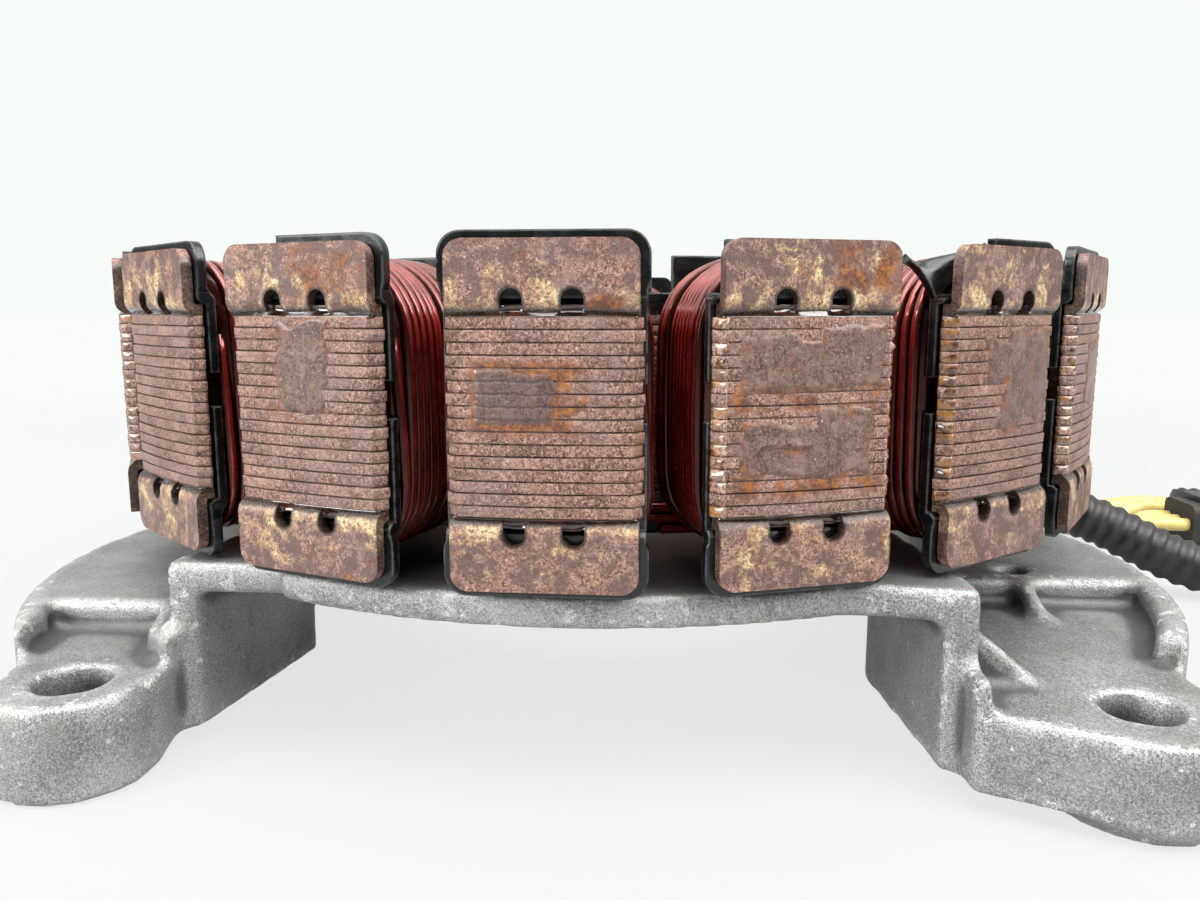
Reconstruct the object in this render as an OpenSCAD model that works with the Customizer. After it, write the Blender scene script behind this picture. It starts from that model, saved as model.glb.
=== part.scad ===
// Wound stator of a flywheel alternator on its cast aluminium base.
// Origin: crank axis at the base's top face. +Z up, the crank axis. The front lugs lie towards -Y.

/* [Core] */
// Number of wound poles
pole_count = 18; // [12:1:19]
// Turn of the first pole from the front, degrees
pole_turn = -1.5; // [-8:0.5:8]
// Step from the crank bore out to the hole through the core
bore_step = 3; // [2:0.1:4]
// Width of the yoke ring that joins the teeth
yoke_w = 14; // [13:0.1:15]
// Length of a tooth from the yoke to its shoe
tooth_l = 16.25; // [14:0.05:18]
// Width of a tooth
tooth_w = 7; // [6:0.1:7.2]
// Width of a pole shoe across its face
shoe_w = 16; // [15:0.1:16.6]
// Depth of a pole shoe behind its face
shoe_d = 1.75; // [1.6:0.05:3]
// Width of the bevel beside a pole face
bevel_w = 1.5; // [1:0.1:2.5]
// Depth of the bevel beside a pole face
bevel_d = 1.4; // [0.8:0.1:1.5]
// Thickness of one lamination
sheet_t = 1; // [0.7:0.05:1.2]
// Number of laminations
sheet_count = 16; // [12:1:18]
// Height of the rounded lower edge of a stamped sheet
roll_h = 0.14; // [0.08:0.02:0.3]
// Set-back of the rounded lower edge of a stamped sheet
roll_d = 0.14; // [0.08:0.02:0.3]
// Most that the sides of a sheet stand back from its neighbours
sheet_uneven = 0.2; // [0:0.02:0.3]

/* [End plates] */
// Thickness of an end plate
plate_t = 1; // [0.8:0.05:1.2]
// Width of a bent tab
tab_w = 15.3; // [14:0.1:16]
// Reach of a bent tab past the stack
tab_len = 6; // [5:0.1:7]
// Corner radius of a tab
tab_corner_r = 1.5; // [0.8:0.1:2.5]
// Inner radius of the tab's bend
bend_r = 0.3; // [0.2:0.05:0.6]
// Width of a bend notch
notch_w = 1.8; // [1.2:0.1:2.4]
// Reach of a bend notch past the stack
notch_len = 2.2; // [1.6:0.1:2.8]
// Offset of a bend notch from the middle of the tab
notch_x = 2.4; // [1.8:0.1:3.5]

/* [Insulators] */
// Thickness of the flange behind a tab
flange_t = 0.9; // [0.7:0.05:1.2]
// Thickness of the flange beside the stack
flange_side_t = 0.8; // [0.6:0.05:1.2]
// Width of the flange behind a tab
flange_w = 16.8; // [16:0.1:17.4]
// Width of the flange beside the stack
flange_side_w = 16.3; // [15.5:0.1:16.8]
// How far the flange stands past the tab
flange_lip = 0.7; // [0.4:0.1:1.2]
// Corner radius of the flange
flange_corner_r = 1.9; // [1.2:0.1:3]
// Thickness of the lining round a tooth
liner_t = 0.8; // [0.6:0.05:1]
// Outer corner radius of the lining
liner_corner_r = 2; // [1.2:0.1:2.2]
// Height of the gap between the two insulators
split_gap = 3.1; // [1:0.1:6]
// Middle of that gap above the middle of the stack
split_z = 1.2; // [-2:0.1:2]
// Thickness of the cover over the yoke
cover_t = 1; // [0.8:0.1:1.6]
// Set-back of the inner wall from the yoke's edge
wall_in = 1.8; // [1.4:0.1:1.9]
// Thickness of the inner wall
wall_t = 1.2; // [0.8:0.1:1.3]
// Height of the inner wall above the cover
wall_h = 3.6; // [2:0.1:4]
// Width of a wire gap in the inner wall
wall_gap_w = 5; // [3:0.5:8]

/* [Coils] */
// Diameter of the winding wire
wire_d = 1; // [0.8:0.02:1.1]
// Depth of the winding beside the yoke
winding_in_t = 3; // [2.4:0.1:3.2]
// Depth of the winding beside the shoe
winding_out_t = 4; // [3:0.1:4.4]
// Clearance between winding and lining
winding_gap = 0.05; // [0.03:0.01:0.1]
// Number of jumper wires round the core
jumper_count = 3; // [1:1:3]

/* [Base] */
// Thickness of the base's plates
base_t = 3; // [2.5:0.1:4]
// Radius of the crank bore
crank_bore_r = 27; // [25:0.5:27.5]
// Wall of the collar round the crank bore
collar_t = 3; // [2:0.1:3.4]
// Height of the collar
collar_h = 8; // [5:0.5:10]
// How far the seat stands out past the yoke
seat_lap = 2; // [1:0.1:4]
// Set-back of the front rim from the pole faces
rim_in = 2.2; // [1:0.1:4]
// Depth of the skirt round the seat
skirt_h = 12.5; // [12.5:0.1:14]
// Clearance between the lower tabs' flange and the base
seat_gap = 0.3; // [0.2:0.1:1]
// Depth of the wings below the seat
wing_drop = 6.3; // [5:0.1:7]
// Depth of the lug pockets below the seat
pocket_drop = 9.3; // [8.5:0.1:9.8]
// Radius of a wing's outer edge
wing_r = 51.8; // [50:0.2:54]
// Sideways offset of that edge's centre
wing_x = 12.2; // [11:0.2:14]
// Forward offset of that edge's centre
wing_y = 21.5; // [19:0.5:24]
// Width of the rim beside a pocket
pocket_rim = 2.7; // [2:0.1:3.5]
// Depth of the leg walls below the seat
leg_drop = 16.6; // [15:0.1:17.5]
// Depth of the feet below the seat
foot_drop = 18; // [17.8:0.1:22]

/* [Lugs] */
// Diameter of a lug hole
lug_hole_d = 6.5; // [5.5:0.1:7]
// Forward distance of the front lug holes
front_lug_y = 57.2; // [56:0.2:58.5]
// Sideways distance of the left lug hole
left_lug_x = 44.9; // [44:0.2:46]
// Sideways distance of the right lug hole
right_lug_x = 48; // [47:0.2:49]
// Radius of the left lug
left_lug_r = 7; // [6.2:0.1:7.6]
// Radius of the right lug
right_lug_r = 8; // [7:0.1:8.6]
// Rearward distance of the rear lug hole
rear_lug_y = 63; // [60:0.5:68]
// Radius of the rear lug
rear_lug_r = 7.5; // [6.5:0.1:9]
// Diameter of the small hole in the right wing
aux_hole_d = 3.2; // [2.5:0.1:4.2]

/* [Fasteners] */
// Diameter of the core bolts
bolt_d = 6; // [5:0.5:6]
// Clearance between a core bolt's washer and the inner wall
bolt_room = 0.8; // [0.4:0.1:1.2]
// Number of core bolts
bolt_count = 4; // [3:1:6]
// Clearance round a bolt in the base
bolt_gap = 0.05; // [0.03:0.01:0.1]
// Clearance round a bolt in the core
bolt_free = 0.3; // [0.2:0.05:0.5]
// Diameter of the bosses below the core
boss_d = 10; // [9:0.5:10]
// Width across flats of a core bolt's head
head_w = 9; // [8:0.5:9]
// Height of a core bolt's head
head_h = 3.6; // [3:0.2:4.4]
// Diameter of a core bolt's washer
washer_d = 10.4; // [10:0.2:11]
// Thickness of a core bolt's washer
washer_t = 1.2; // [0.8:0.1:1.6]

/* [Lead] */
// Diameter of the ribbed sleeve
sleeve_d = 7; // [6:0.1:7]
// Diameter of one yellow lead
lead_d = 2.2; // [1.8:0.1:2.4]
// Thickness of the clip round the sleeve
clip_t = 1; // [0.8:0.1:1.4]
// Width of the clip
clip_w = 4.5; // [4:0.1:4.6]
// Diameter of the clip's screw
clip_screw_d = 4; // [3:0.5:4]
// Length of the connector
conn_l = 24; // [20:1:26]
// Width of the connector
conn_w = 11; // [10.4:0.2:13]
// Height of the connector
conn_h = 10.6; // [9:0.2:12]

/* [Hidden] */
$fn = 64;
function two(i) = i < 10 ? str("0", i) : str(i);
function sheet_name(i) = str("lamination_", two(i));
function coil_name(i) = str("coil_", two(i));
function lead_name(i) = str("yellow_lead_", i);
LEAD_COUNT = 3;

aluminium = [0.62, 0.62, 0.61];
rusty_steel = [0.43, 0.31, 0.28];
black_plastic = [0.09, 0.09, 0.09];
red_enamel = [0.45, 0.07, 0.05];
zinc = [0.70, 0.70, 0.68];
sleeve_black = [0.07, 0.07, 0.07];
lead_yellow = [0.80, 0.66, 0.20];
tinned = [0.72, 0.70, 0.64];
seal_brown = [0.25, 0.18, 0.12];

// A hair of overlap or overshoot for cuts
over = 0.5;

// Heights, from the base's top face
stack_h = sheet_count * sheet_t;
stack_z0 = seat_gap + flange_lip + tab_len;
stack_z1 = stack_z0 + stack_h;
mid_z = stack_z0 + stack_h / 2;
boss_h = stack_z0 - plate_t;
half_stack = stack_h / 2;
half_core = half_stack + plate_t;

// Radii from the crank axis outwards
core_bore_r = crank_bore_r + bore_step;
yoke_r = core_bore_r + yoke_w;
shoe_r = yoke_r + tooth_l;
core_r = shoe_r + shoe_d;
wall_r = yoke_r - wall_in;
bolt_circle_r = wall_r - wall_t - bolt_room - washer_d / 2;
seat_r = yoke_r + seat_lap;
rim_r = core_r - rim_in;

// Radii along a pole, from the face inwards
tab_back_r = core_r - plate_t;
bend_out = bend_r + plate_t;
bend_start_r = core_r - bend_out;
bend_thin = 0.02;
tab_root = 0.3;
fit = 0.1;
// Room beside the yoke and between two coils, and the share of a wire's width that each turn takes
yoke_room = 2.6;
coil_room = 0.4;
turn_room = 1.04;
wire_facets = 24;
shoe_slope = 0.15;
yoke_lap = 2;
cover_lap = 0.6;
flange_out_r = tab_back_r - fit;
flange_in_r = shoe_r - 2 * fit - flange_side_t;
liner_half_w = tooth_w / 2 + winding_gap + liner_t;
liner_half_h = half_core + winding_gap + liner_t;
pole_pitch = 360 / pole_count;
coil_clear_r = (liner_half_w + winding_in_t + coil_room / 2) / tan(pole_pitch / 2);
coil_r1 = flange_in_r - fit;
coil_r0 = max(yoke_r + yoke_room, coil_clear_r);
// Jumper wires: start of the first, step from one to the next and span, degrees
jumper_start = -120;
jumper_step = 20;
jumper_span = 250;
jumper_z = mid_z - half_core - 2 * fit - cover_t - wire_d / 2;
turn_count = floor((coil_r1 - coil_r0) / (wire_d * turn_room));
turn_pitch = (coil_r1 - coil_r0 - wire_d) / (turn_count - 1);
// Flange edges that have broken off: [pole, from, to, depth below the flange's top]
flange_breaks = [
    [-1, -8.6, -2.6, 0.75], [1, -7.2, 7.2, 0.75], [1, -8.6, -7, 5.2], [1, 7, 8.6, 5],
    [2, -8.6, -5.2, 5.2], [2, -5.4, -1.4, 0.75]];

// Leg walls: [side, inner face at the front, front, rear, lean inwards, thickness]
left_wall = [-1, 36.2, -51.8, -30, 3.6, 2.8];
right_wall = [1, 32.2, -56, -35, 2.2, 3];
function wall_points(w) = [
    [w[0] * w[1], w[2]],
    [w[0] * (w[1] + w[5]), w[2]],
    [w[0] * (w[1] + w[5] - w[4]), w[3]],
    [w[0] * (w[1] - w[4]), w[3]]];
function wall_mid_front(w) = [w[0] * (w[1] + w[5] / 2), w[2]];
function wall_mid_rear(w) = [w[0] * (w[1] + w[5] / 2 - w[4]), w[3]];
rim_half_w = 27;
left_lug = [-left_lug_x, -front_lug_y];
right_lug = [right_lug_x, -front_lug_y];
rear_lug = [0, rear_lug_y];
left_pocket_y = -44.4;
right_pocket_y = -30.2;
// Step before the left leg, width and lean of the pocket's edge by that leg, set-back of the right rib
front_step = 2.2;
pocket_edge = 2;
pocket_lean = 2.4;
rib_in = 3.4;
aux_hole = [48.5, -25.8];
far = 120;

// Core bolts stand between the four quarters of the base
function bolt_angle(i) = 45 + i * 360 / bolt_count;

// Lead: the sleeve leaves below the seat at the right, the rest lies on the floor
floor_z = -foot_drop;
lead_y = 9;
sleeve_r = sleeve_d / 2;
sleeve_z = -base_t - sleeve_r - fit;
sleeve_floor_z = floor_z + sleeve_r;
tail_bend_r = 3.6;
tail_slot = 2.8;
tail_room = 1;
tail_x = crank_bore_r + collar_t + tail_room;
sleeve_x0 = tail_x + tail_slot / 2 + tail_bend_r;
tail_spacing = 2.4;
tail_d = 1.8;
notch_half = sleeve_r + 1.7;
notch_l = 20;
clip_head_d = 1.75 * clip_screw_d;
clip_room = 0.75;
clip_x = seat_r - base_t - clip_room - clip_head_d / 2 - clip_w / 2;
clip_ear = 8;
clip_r = sleeve_r + fit / 2;
clip_screw_y = lead_y - clip_r - clip_t - clip_ear / 2;
clip_head_h = 2.4;
sleeve_route = [
    [sleeve_x0, lead_y, sleeve_z], [44, lead_y, sleeve_z], [52, lead_y, sleeve_z],
    [58, 9, -6.2], [64, 9, -6.2], [69, 8.6, -6.8], [73.5, 7.6, -8.2], [78, 6, -10.4], [82.5, 4.2, -12.6],
    [87, 2.4, -14], [92, 0.8, sleeve_floor_z], [98, 0, sleeve_floor_z], [105, 0.6, sleeve_floor_z],
    [112.5, 3.2, sleeve_floor_z], [119, 8, sleeve_floor_z], [124, 14.5, sleeve_floor_z],
    [127, 22, sleeve_floor_z], [127.8, 30, sleeve_floor_z], [126, 38, sleeve_floor_z],
    [121.5, 45, sleeve_floor_z], [115, 49.5, sleeve_floor_z], [108, 51, sleeve_floor_z]];
lead_route = [
    [107.9, 51, -14.5], [102.4, 52.2, -14.5], [96.6, 52, -15.6], [91.2, 49.8, -16.6], [87, 46, -16.9],
    [84.6, 41, -16.7], [85, 35.6, -15.8], [88, 31.2, -14.4], [92.4, 29, -12.7], [96.9, 29, -12.7]];
lead_spread = 3;
lead_bunch = 2.35;
conn_pos = [97, 29];
conn_step = 1.6;
conn_corner_r = 1.4;
rib_t = 1;
seal_t = 2.4;
mouth_depth = 9;
mouth_wall = 1.4;
terminal_size = [1.8, 0.8];
terminal_pitch = 2.6;

function unit(v) = v / norm(v);
function heading(p, i) = unit(p[min(i + 1, len(p) - 1)] - p[max(i - 1, 0)]);
function aside(t) = unit(cross(t, [0, 0, 1]));
function ring(p, i, r, n) =
    let (t = heading(p, i), s = aside(t), u = cross(s, t))
    [for (k = [0:n - 1]) p[i] + r * (cos(360 * k / n) * s + sin(360 * k / n) * u)];
// One lead's own route, set to the right of the middle route and bunched where it leaves the sleeve
function lead_path(k) =
    [for (i = [0:len(lead_route) - 1])
        lead_route[i] + (k - 2) * (i < 2 ? lead_bunch : lead_spread) * aside(heading(lead_route, i))];

// A round tube carried along a route, closed at both ends
module tube_along(p, d, n) {
    last = (len(p) - 1) * n;
    polyhedron(
        points = [for (i = [0:len(p) - 1]) each ring(p, i, d / 2, n)],
        faces = concat(
            [[for (k = [0:n - 1]) k]],
            [for (i = [0:len(p) - 2], k = [0:n - 1])
                [i * n + k, (i + 1) * n + k, (i + 1) * n + (k + 1) % n, i * n + (k + 1) % n]],
            [[for (k = [n - 1:-1:0]) last + k]]));
}

// A pole's own frame: X across the pole, Y up from the middle of the stack, Z outwards
module at_pole(k) {
    translate([0, 0, mid_z])
        rotate([0, 0, pole_turn + k * pole_pitch])
            rotate([90, 0, 0])
                children();
}
module at_all_poles() {
    for (k = [0:pole_count - 1])
        at_pole(k)
            children();
}
module at_bolts() {
    for (i = [0:bolt_count - 1])
        rotate([0, 0, bolt_angle(i)])
            translate([bolt_circle_r, 0, 0])
                children();
}
// The lower half is the upper half turned over about the middle of the stack
module turned_over() {
    translate([0, 0, 2 * mid_z])
        mirror([0, 0, 1])
            children();
}

module bolt_holes_2d(d) {
    at_bolts()
        circle(d = d);
}
module rounded_square(w, h, r) {
    union() {
        square([w - 2 * r, h], center = true);
        square([w, h - 2 * r], center = true);
        for (x = [-1, 1], y = [-1, 1])
            translate([x * (w / 2 - r), y * (h / 2 - r)])
                circle(r);
    }
}

// Laminations

// Stamped outline: yoke ring, teeth and bevelled pole shoes
module sheet_2d(face_r, side_in) {
    half = shoe_w / 2 - side_in;
    side_r = core_r - bevel_d;
    difference() {
        union() {
            circle(yoke_r);
            intersection() {
                circle(face_r);
                for (k = [0:pole_count - 1])
                    rotate(pole_turn + k * pole_pitch)
                        polygon([
                            [-tooth_w / 2, -yoke_r + yoke_lap], [-tooth_w / 2, -shoe_r],
                            [-half, -shoe_r - shoe_slope],
                            [-half, -side_r], [-half + bevel_w, -core_r - over],
                            [half - bevel_w, -core_r - over], [half, -side_r],
                            [half, -shoe_r - shoe_slope], [tooth_w / 2, -shoe_r],
                            [tooth_w / 2, -yoke_r + yoke_lap]]);
            }
        }
        circle(core_bore_r);
        bolt_holes_2d(bolt_d + 2 * bolt_free);
    }
}
// No two sheets of the stack line up quite the same
function set_back(i) = sheet_uneven * (1 + sin(137 * i)) / 2;
module lamination(i) {
    face_r = core_r - set_back(i) / 3;
    color(rusty_steel)
        translate([0, 0, stack_z0 + (i - 1) * sheet_t])
            union() {
                linear_extrude(roll_h)
                    sheet_2d(face_r - roll_d, set_back(i) + roll_d);
                translate([0, 0, roll_h])
                    linear_extrude(sheet_t - roll_h)
                        sheet_2d(face_r, set_back(i));
            }
}

// End plates

// Bent tip of an end plate in section: root in the flat, bend and tab, a hair thinner from the bending.
// X outwards, Y up from the stack's middle
module tab_section_2d() {
    centre = [bend_start_r, half_stack + bend_out];
    thin_t = plate_t - 2 * bend_thin;
    union() {
        translate([bend_start_r - tab_root, half_stack + bend_thin])
            square([tab_root, thin_t]);
        intersection() {
            translate(centre)
                difference() {
                    circle(bend_out - bend_thin);
                    circle(bend_r + bend_thin);
                }
            translate([centre[0], half_stack])
                square(bend_out);
        }
        translate([tab_back_r + bend_thin, centre[1]])
            square([thin_t, half_stack + tab_len - centre[1]]);
    }
}
// Rounded front outline of a tab, which keeps the flat behind it whole
module tab_outline_2d() {
    h = tab_len + 2 * tab_corner_r;
    translate([0, half_stack + tab_len - h / 2])
        rounded_square(tab_w - 2 * bend_thin, h, tab_corner_r);
}
module tab() {
    intersection() {
        translate([-tab_w / 2, 0, 0])
            rotate([90, 0, 90])
                linear_extrude(tab_w)
                    rotate(90)
                        mirror([0, 1])
                            tab_section_2d();
        translate([0, 0, shoe_r - over])
            linear_extrude(shoe_d + 2 * over)
                tab_outline_2d();
    }
}
module notch_cut() {
    r = notch_w / 2;
    depth = plate_t + bend_r + 1;
    for (x = [-notch_x, notch_x])
        translate([x, half_stack, core_r - depth]) {
            translate([-r, -over, 0])
                cube([notch_w, notch_len - r + over, depth + over]);
            translate([0, notch_len - r, 0])
                cylinder(h = depth + over, r = r);
        }
}
module end_plate_solid() {
    difference() {
        union() {
            translate([0, 0, stack_z1])
                linear_extrude(plate_t)
                    difference() {
                        union() {
                            circle(yoke_r);
                            for (k = [0:pole_count - 1])
                                rotate(pole_turn + k * pole_pitch)
                                    polygon([
                                        [-tooth_w / 2, -yoke_r + yoke_lap], [-tooth_w / 2, -shoe_r],
                                        [-tab_w / 2, -shoe_r], [-tab_w / 2, -bend_start_r],
                                        [tab_w / 2, -bend_start_r], [tab_w / 2, -shoe_r],
                                        [tooth_w / 2, -shoe_r], [tooth_w / 2, -yoke_r + yoke_lap]]);
                        }
                        circle(core_bore_r);
                        bolt_holes_2d(bolt_d + 2 * bolt_free);
                    }
            at_all_poles()
                tab();
        }
        at_all_poles()
            notch_cut();
    }
}
module upper_end_plate() {
    color(rusty_steel)
        end_plate_solid();
}
module lower_end_plate() {
    color(rusty_steel)
        turned_over()
            end_plate_solid();
}

// Insulators

// Flange behind a tab in section: it stands behind the shoe, then steps out over the end plate
module flange_section_2d(low) {
    top = half_stack + tab_len + flange_lip;
    step = half_core + fit;
    polygon([
        [flange_in_r, low], [flange_in_r + flange_side_t, low], [flange_in_r + flange_side_t, step],
        [flange_out_r - bend_r - fit, step], [flange_out_r, step + bend_r + fit],
        [flange_out_r, top + over], [flange_out_r - flange_t, top + over],
        [flange_out_r - flange_t, step + 1.6 * flange_t], [flange_in_r, step + flange_t / 2]]);
}
// Front outline of the flange: wide behind the tab, narrower beside the stack
module flange_outline_2d(low) {
    top = half_stack + tab_len + flange_lip;
    head = top - half_core - fit;
    h = top - low + flange_corner_r;
    union() {
        translate([0, top - h / 2])
            rounded_square(flange_side_w, h, flange_corner_r);
        translate([0, top - head / 2])
            rounded_square(flange_w, head, flange_corner_r);
    }
}
// Lining of one tooth with its flange, open towards the stack's middle
module pole_liner(low) {
    difference() {
        union() {
            intersection() {
                translate([-flange_w / 2 - over, 0, 0])
                    rotate([90, 0, 90])
                        linear_extrude(flange_w + 2 * over)
                            rotate(90)
                                mirror([0, 1])
                                    flange_section_2d(low);
                translate([0, 0, flange_in_r - over])
                    linear_extrude(core_r - flange_in_r)
                        flange_outline_2d(low);
            }
            translate([0, 0, yoke_r + fit])
                linear_extrude(flange_in_r + flange_side_t / 2 - yoke_r - fit)
                    intersection() {
                        rounded_square(2 * (liner_half_w - winding_gap), 2 * (liner_half_h - winding_gap),
                                       liner_corner_r);
                        translate([-far / 2, low + fit])
                            square(far);
                    }
        }
        translate([-tooth_w / 2 - winding_gap, low - over, yoke_r - over])
            cube([tooth_w + 2 * winding_gap, half_core + winding_gap - low + over, core_r - yoke_r]);
    }
}
module flange_break_cuts() {
    top = half_stack + tab_len + flange_lip;
    for (b = flange_breaks)
        at_pole(b[0])
            translate([b[1], top - b[3], flange_out_r - flange_t - over])
                cube([b[2] - b[1], b[3] + over, flange_t + 2 * over]);
}
module insulator_ring() {
    translate([0, 0, mid_z + half_core + fit])
        union() {
            linear_extrude(cover_t)
                difference() {
                    circle(yoke_r + cover_lap);
                    circle(core_bore_r + fit);
                    bolt_holes_2d(max(washer_d, boss_d) + 4 * fit);
                }
            translate([0, 0, cover_t / 2])
                linear_extrude(cover_t / 2 + wall_h)
                    difference() {
                        circle(wall_r);
                        circle(wall_r - wall_t);
                        for (k = [0:2:pole_count - 1])
                            rotate(pole_turn + (k + 0.5) * pole_pitch)
                                translate([-wall_gap_w / 2, -wall_r - over])
                                    square([wall_gap_w, wall_t + 2 * over]);
                    }
        }
}
module upper_insulator() {
    low = split_z + split_gap / 2;
    color(black_plastic)
        difference() {
            union() {
                insulator_ring();
                at_all_poles()
                    pole_liner(low);
            }
            flange_break_cuts();
        }
}
module lower_insulator() {
    low = split_gap / 2 - split_z;
    guide_z0 = jumper_z - (jumper_count - 0.5) * (wire_d + fit);
    guide_z1 = mid_z - half_core - fit - cover_t / 2;
    color(black_plastic)
        union() {
            turned_over()
                union() {
                    insulator_ring();
                    at_all_poles()
                        pole_liner(low);
                }
            difference() {
                translate([0, 0, guide_z0])
                    cylinder(h = guide_z1 - guide_z0, r = yoke_r - fit);
                translate([0, 0, guide_z0 - over])
                    cylinder(h = guide_z1 - guide_z0 + 2 * over, r = yoke_r - wall_t);
            }
        }
}

// Coils

// Winding in section: the turns stand up as round ridges. X away from the tooth, Y along it
module winding_2d() {
    r = wire_d / 2;
    grow = (winding_out_t - winding_in_t) / (turn_count - 1);
    union() {
        polygon([[0, coil_r0], [winding_in_t - r, coil_r0], [winding_out_t - r, coil_r1], [0, coil_r1]]);
        for (i = [0:turn_count - 1])
            translate([winding_in_t - r + i * grow, coil_r0 + r + i * turn_pitch])
                circle(r, $fn = wire_facets);
    }
}
// The section carried round the lining: four straight runs and four corners
module coil(k) {
    half = [liner_half_w, liner_half_h];
    r = liner_corner_r;
    color(red_enamel)
        at_pole(k - 1)
            union() {
                for (side = [0:3]) {
                    run = 2 * (half[(side + 1) % 2] - r);
                    rotate([0, 0, 90 * side])
                        translate([half[side % 2], run / 2, 0])
                            rotate([90, 0, 0])
                                linear_extrude(run)
                                    winding_2d();
                    corner = side % 2 == 0 ? half : [half[1], half[0]];
                    rotate([0, 0, 90 * side])
                        translate([corner[0] - r, corner[1] - r, 0])
                            rotate_extrude(angle = 90)
                                translate([r, 0])
                                    winding_2d();
                }
            }
}
// Jumper wires laid round the lower insulator's skirt, one below the other
module jumper_wires() {
    color(red_enamel)
        for (i = [0:jumper_count - 1])
            translate([0, 0, jumper_z - i * (wire_d + fit)])
                rotate([0, 0, jumper_start + i * jumper_step])
                    rotate_extrude(angle = jumper_span)
                        translate([yoke_r + wire_d / 2 + winding_gap, 0])
                            circle(d = wire_d, $fn = wire_facets);
}

// Base

// Seat and front rim: the raised middle of the casting
module seat_2d() {
    union() {
        circle(seat_r);
        intersection() {
            circle(rim_r);
            translate([-rim_half_w, -rim_r])
                square([2 * rim_half_w, rim_r]);
        }
        polygon([
            wall_points(left_wall)[1], wall_points(left_wall)[0], [-rim_half_w, left_wall[2]],
            [rim_half_w, right_wall[2] + 1], [right_wall[1], right_wall[2]], wall_points(right_wall)[1],
            wall_points(right_wall)[2], [0, 0], wall_points(left_wall)[2]]);
    }
}
// What lies inside a leg wall, to keep a wing outside it
module inside_wall_2d(w) {
    polygon([
        [wall_mid_front(w)[0], -far], wall_mid_front(w), wall_mid_rear(w), [wall_mid_rear(w)[0], far],
        [-w[0] * far, far], [-w[0] * far, -far]]);
}
module wing_edge_2d(side, r) {
    translate([side * wing_x, -wing_y])
        circle(r);
}
module left_front_2d() {
    lug = left_lug;
    union() {
        translate(lug)
            circle(left_lug_r);
        polygon([
            [wall_points(left_wall)[0][0] - 0.4, left_wall[2]], lug + [left_lug_r, 0], lug + [0, -1],
            lug + [-left_lug_r, 0], [lug[0] - left_lug_r - 2, left_wall[2] + 4],
            [wall_mid_front(left_wall)[0], left_wall[2] + 4]]);
    }
}
module right_front_2d() {
    lug = right_lug;
    a = 16;
    union() {
        translate(lug)
            circle(right_lug_r);
        polygon([
            [wall_mid_front(right_wall)[0], right_wall[2] + 6],
            [wall_mid_front(right_wall)[0], right_wall[2] - 3.4],
            lug + right_lug_r * [-sin(a), -cos(a)], lug + [right_lug_r, 0],
            lug + [right_lug_r - 0.5, 10]]);
    }
}
module wing_2d(side) {
    w = side < 0 ? left_wall : right_wall;
    difference() {
        union() {
            intersection() {
                wing_edge_2d(side, wing_r);
                translate([-far, left_wall[2] - front_step])
                    square(2 * far);
            }
            if (side < 0)
                left_front_2d();
            else
                right_front_2d();
        }
        inside_wall_2d(w);
        circle(seat_r - base_t / 2);
    }
}
// The sunk floor round a lug; it opens to the front
module pocket_2d(side) {
    corner = wall_points(left_wall)[1];
    step_y = left_wall[2] - front_step;
    intersection() {
        union() {
            wing_edge_2d(side, wing_r - pocket_rim);
            if (side < 0)
                left_front_2d();
            else
                right_front_2d();
        }
        if (side < 0)
            polygon([
                [-far, left_pocket_y], [corner[0] - pocket_edge - pocket_lean, left_pocket_y],
                [corner[0] - pocket_edge, corner[1]], [corner[0] + pocket_edge / 2, step_y], [0, step_y],
                [0, -far], [-far, -far]]);
        else
            polygon([
                [wall_points(right_wall)[2][0], right_pocket_y], [far, right_pocket_y], [far, -far],
                [wall_points(right_wall)[1][0], -far], wall_points(right_wall)[1],
                wall_points(right_wall)[2]]);
    }
}
// Hollow below the rear of a wing, with metal left round the small hole
module wing_hollow_2d(side) {
    difference() {
        intersection() {
            wing_edge_2d(side, wing_r - base_t);
            translate([-far, right_pocket_y + base_t])
                square([2 * far, far]);
        }
        inside_wall_2d(side < 0 ? left_wall : right_wall);
        circle(seat_r + base_t / 2);
        translate(aux_hole)
            circle(aux_hole_d / 2 + 2.4);
    }
}
module slab(z0, z1) {
    translate([0, 0, z0])
        linear_extrude(z1 - z0)
            children();
}
// Triangular rib: it starts at height h on a wall and runs out to nothing after length l
module gusset(l, h, t) {
    rotate([90, 0, 0])
        translate([0, 0, -t / 2])
            linear_extrude(t)
                polygon([[-1, -1], [l, -1], [l, 0], [0, h], [-1, h]]);
}
module wing(side) {
    difference() {
        slab(-skirt_h, -wing_drop)
            wing_2d(side);
        slab(-pocket_drop, 0)
            pocket_2d(side);
        slab(-skirt_h - over, -wing_drop - base_t)
            wing_hollow_2d(side);
    }
}
module rear_arm() {
    arm_w = 2 * rear_lug_r + 3;
    union() {
        slab(-skirt_h, -pocket_drop)
            union() {
                translate(rear_lug)
                    circle(rear_lug_r);
                polygon([
                    [-arm_w / 2, seat_r - 4], [arm_w / 2, seat_r - 4], rear_lug + [rear_lug_r, 0],
                    rear_lug + [-rear_lug_r, 0]]);
            }
        slab(-foot_drop, -pocket_drop)
            translate(rear_lug)
                circle(rear_lug_r);
        for (x = [-1, 1])
            translate([x * (rear_lug_r - 1), seat_r - 1, -pocket_drop])
                rotate([0, 0, 90])
                    gusset(rear_lug_y - seat_r - 2, pocket_drop - base_t, base_t - 0.6);
    }
}
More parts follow.
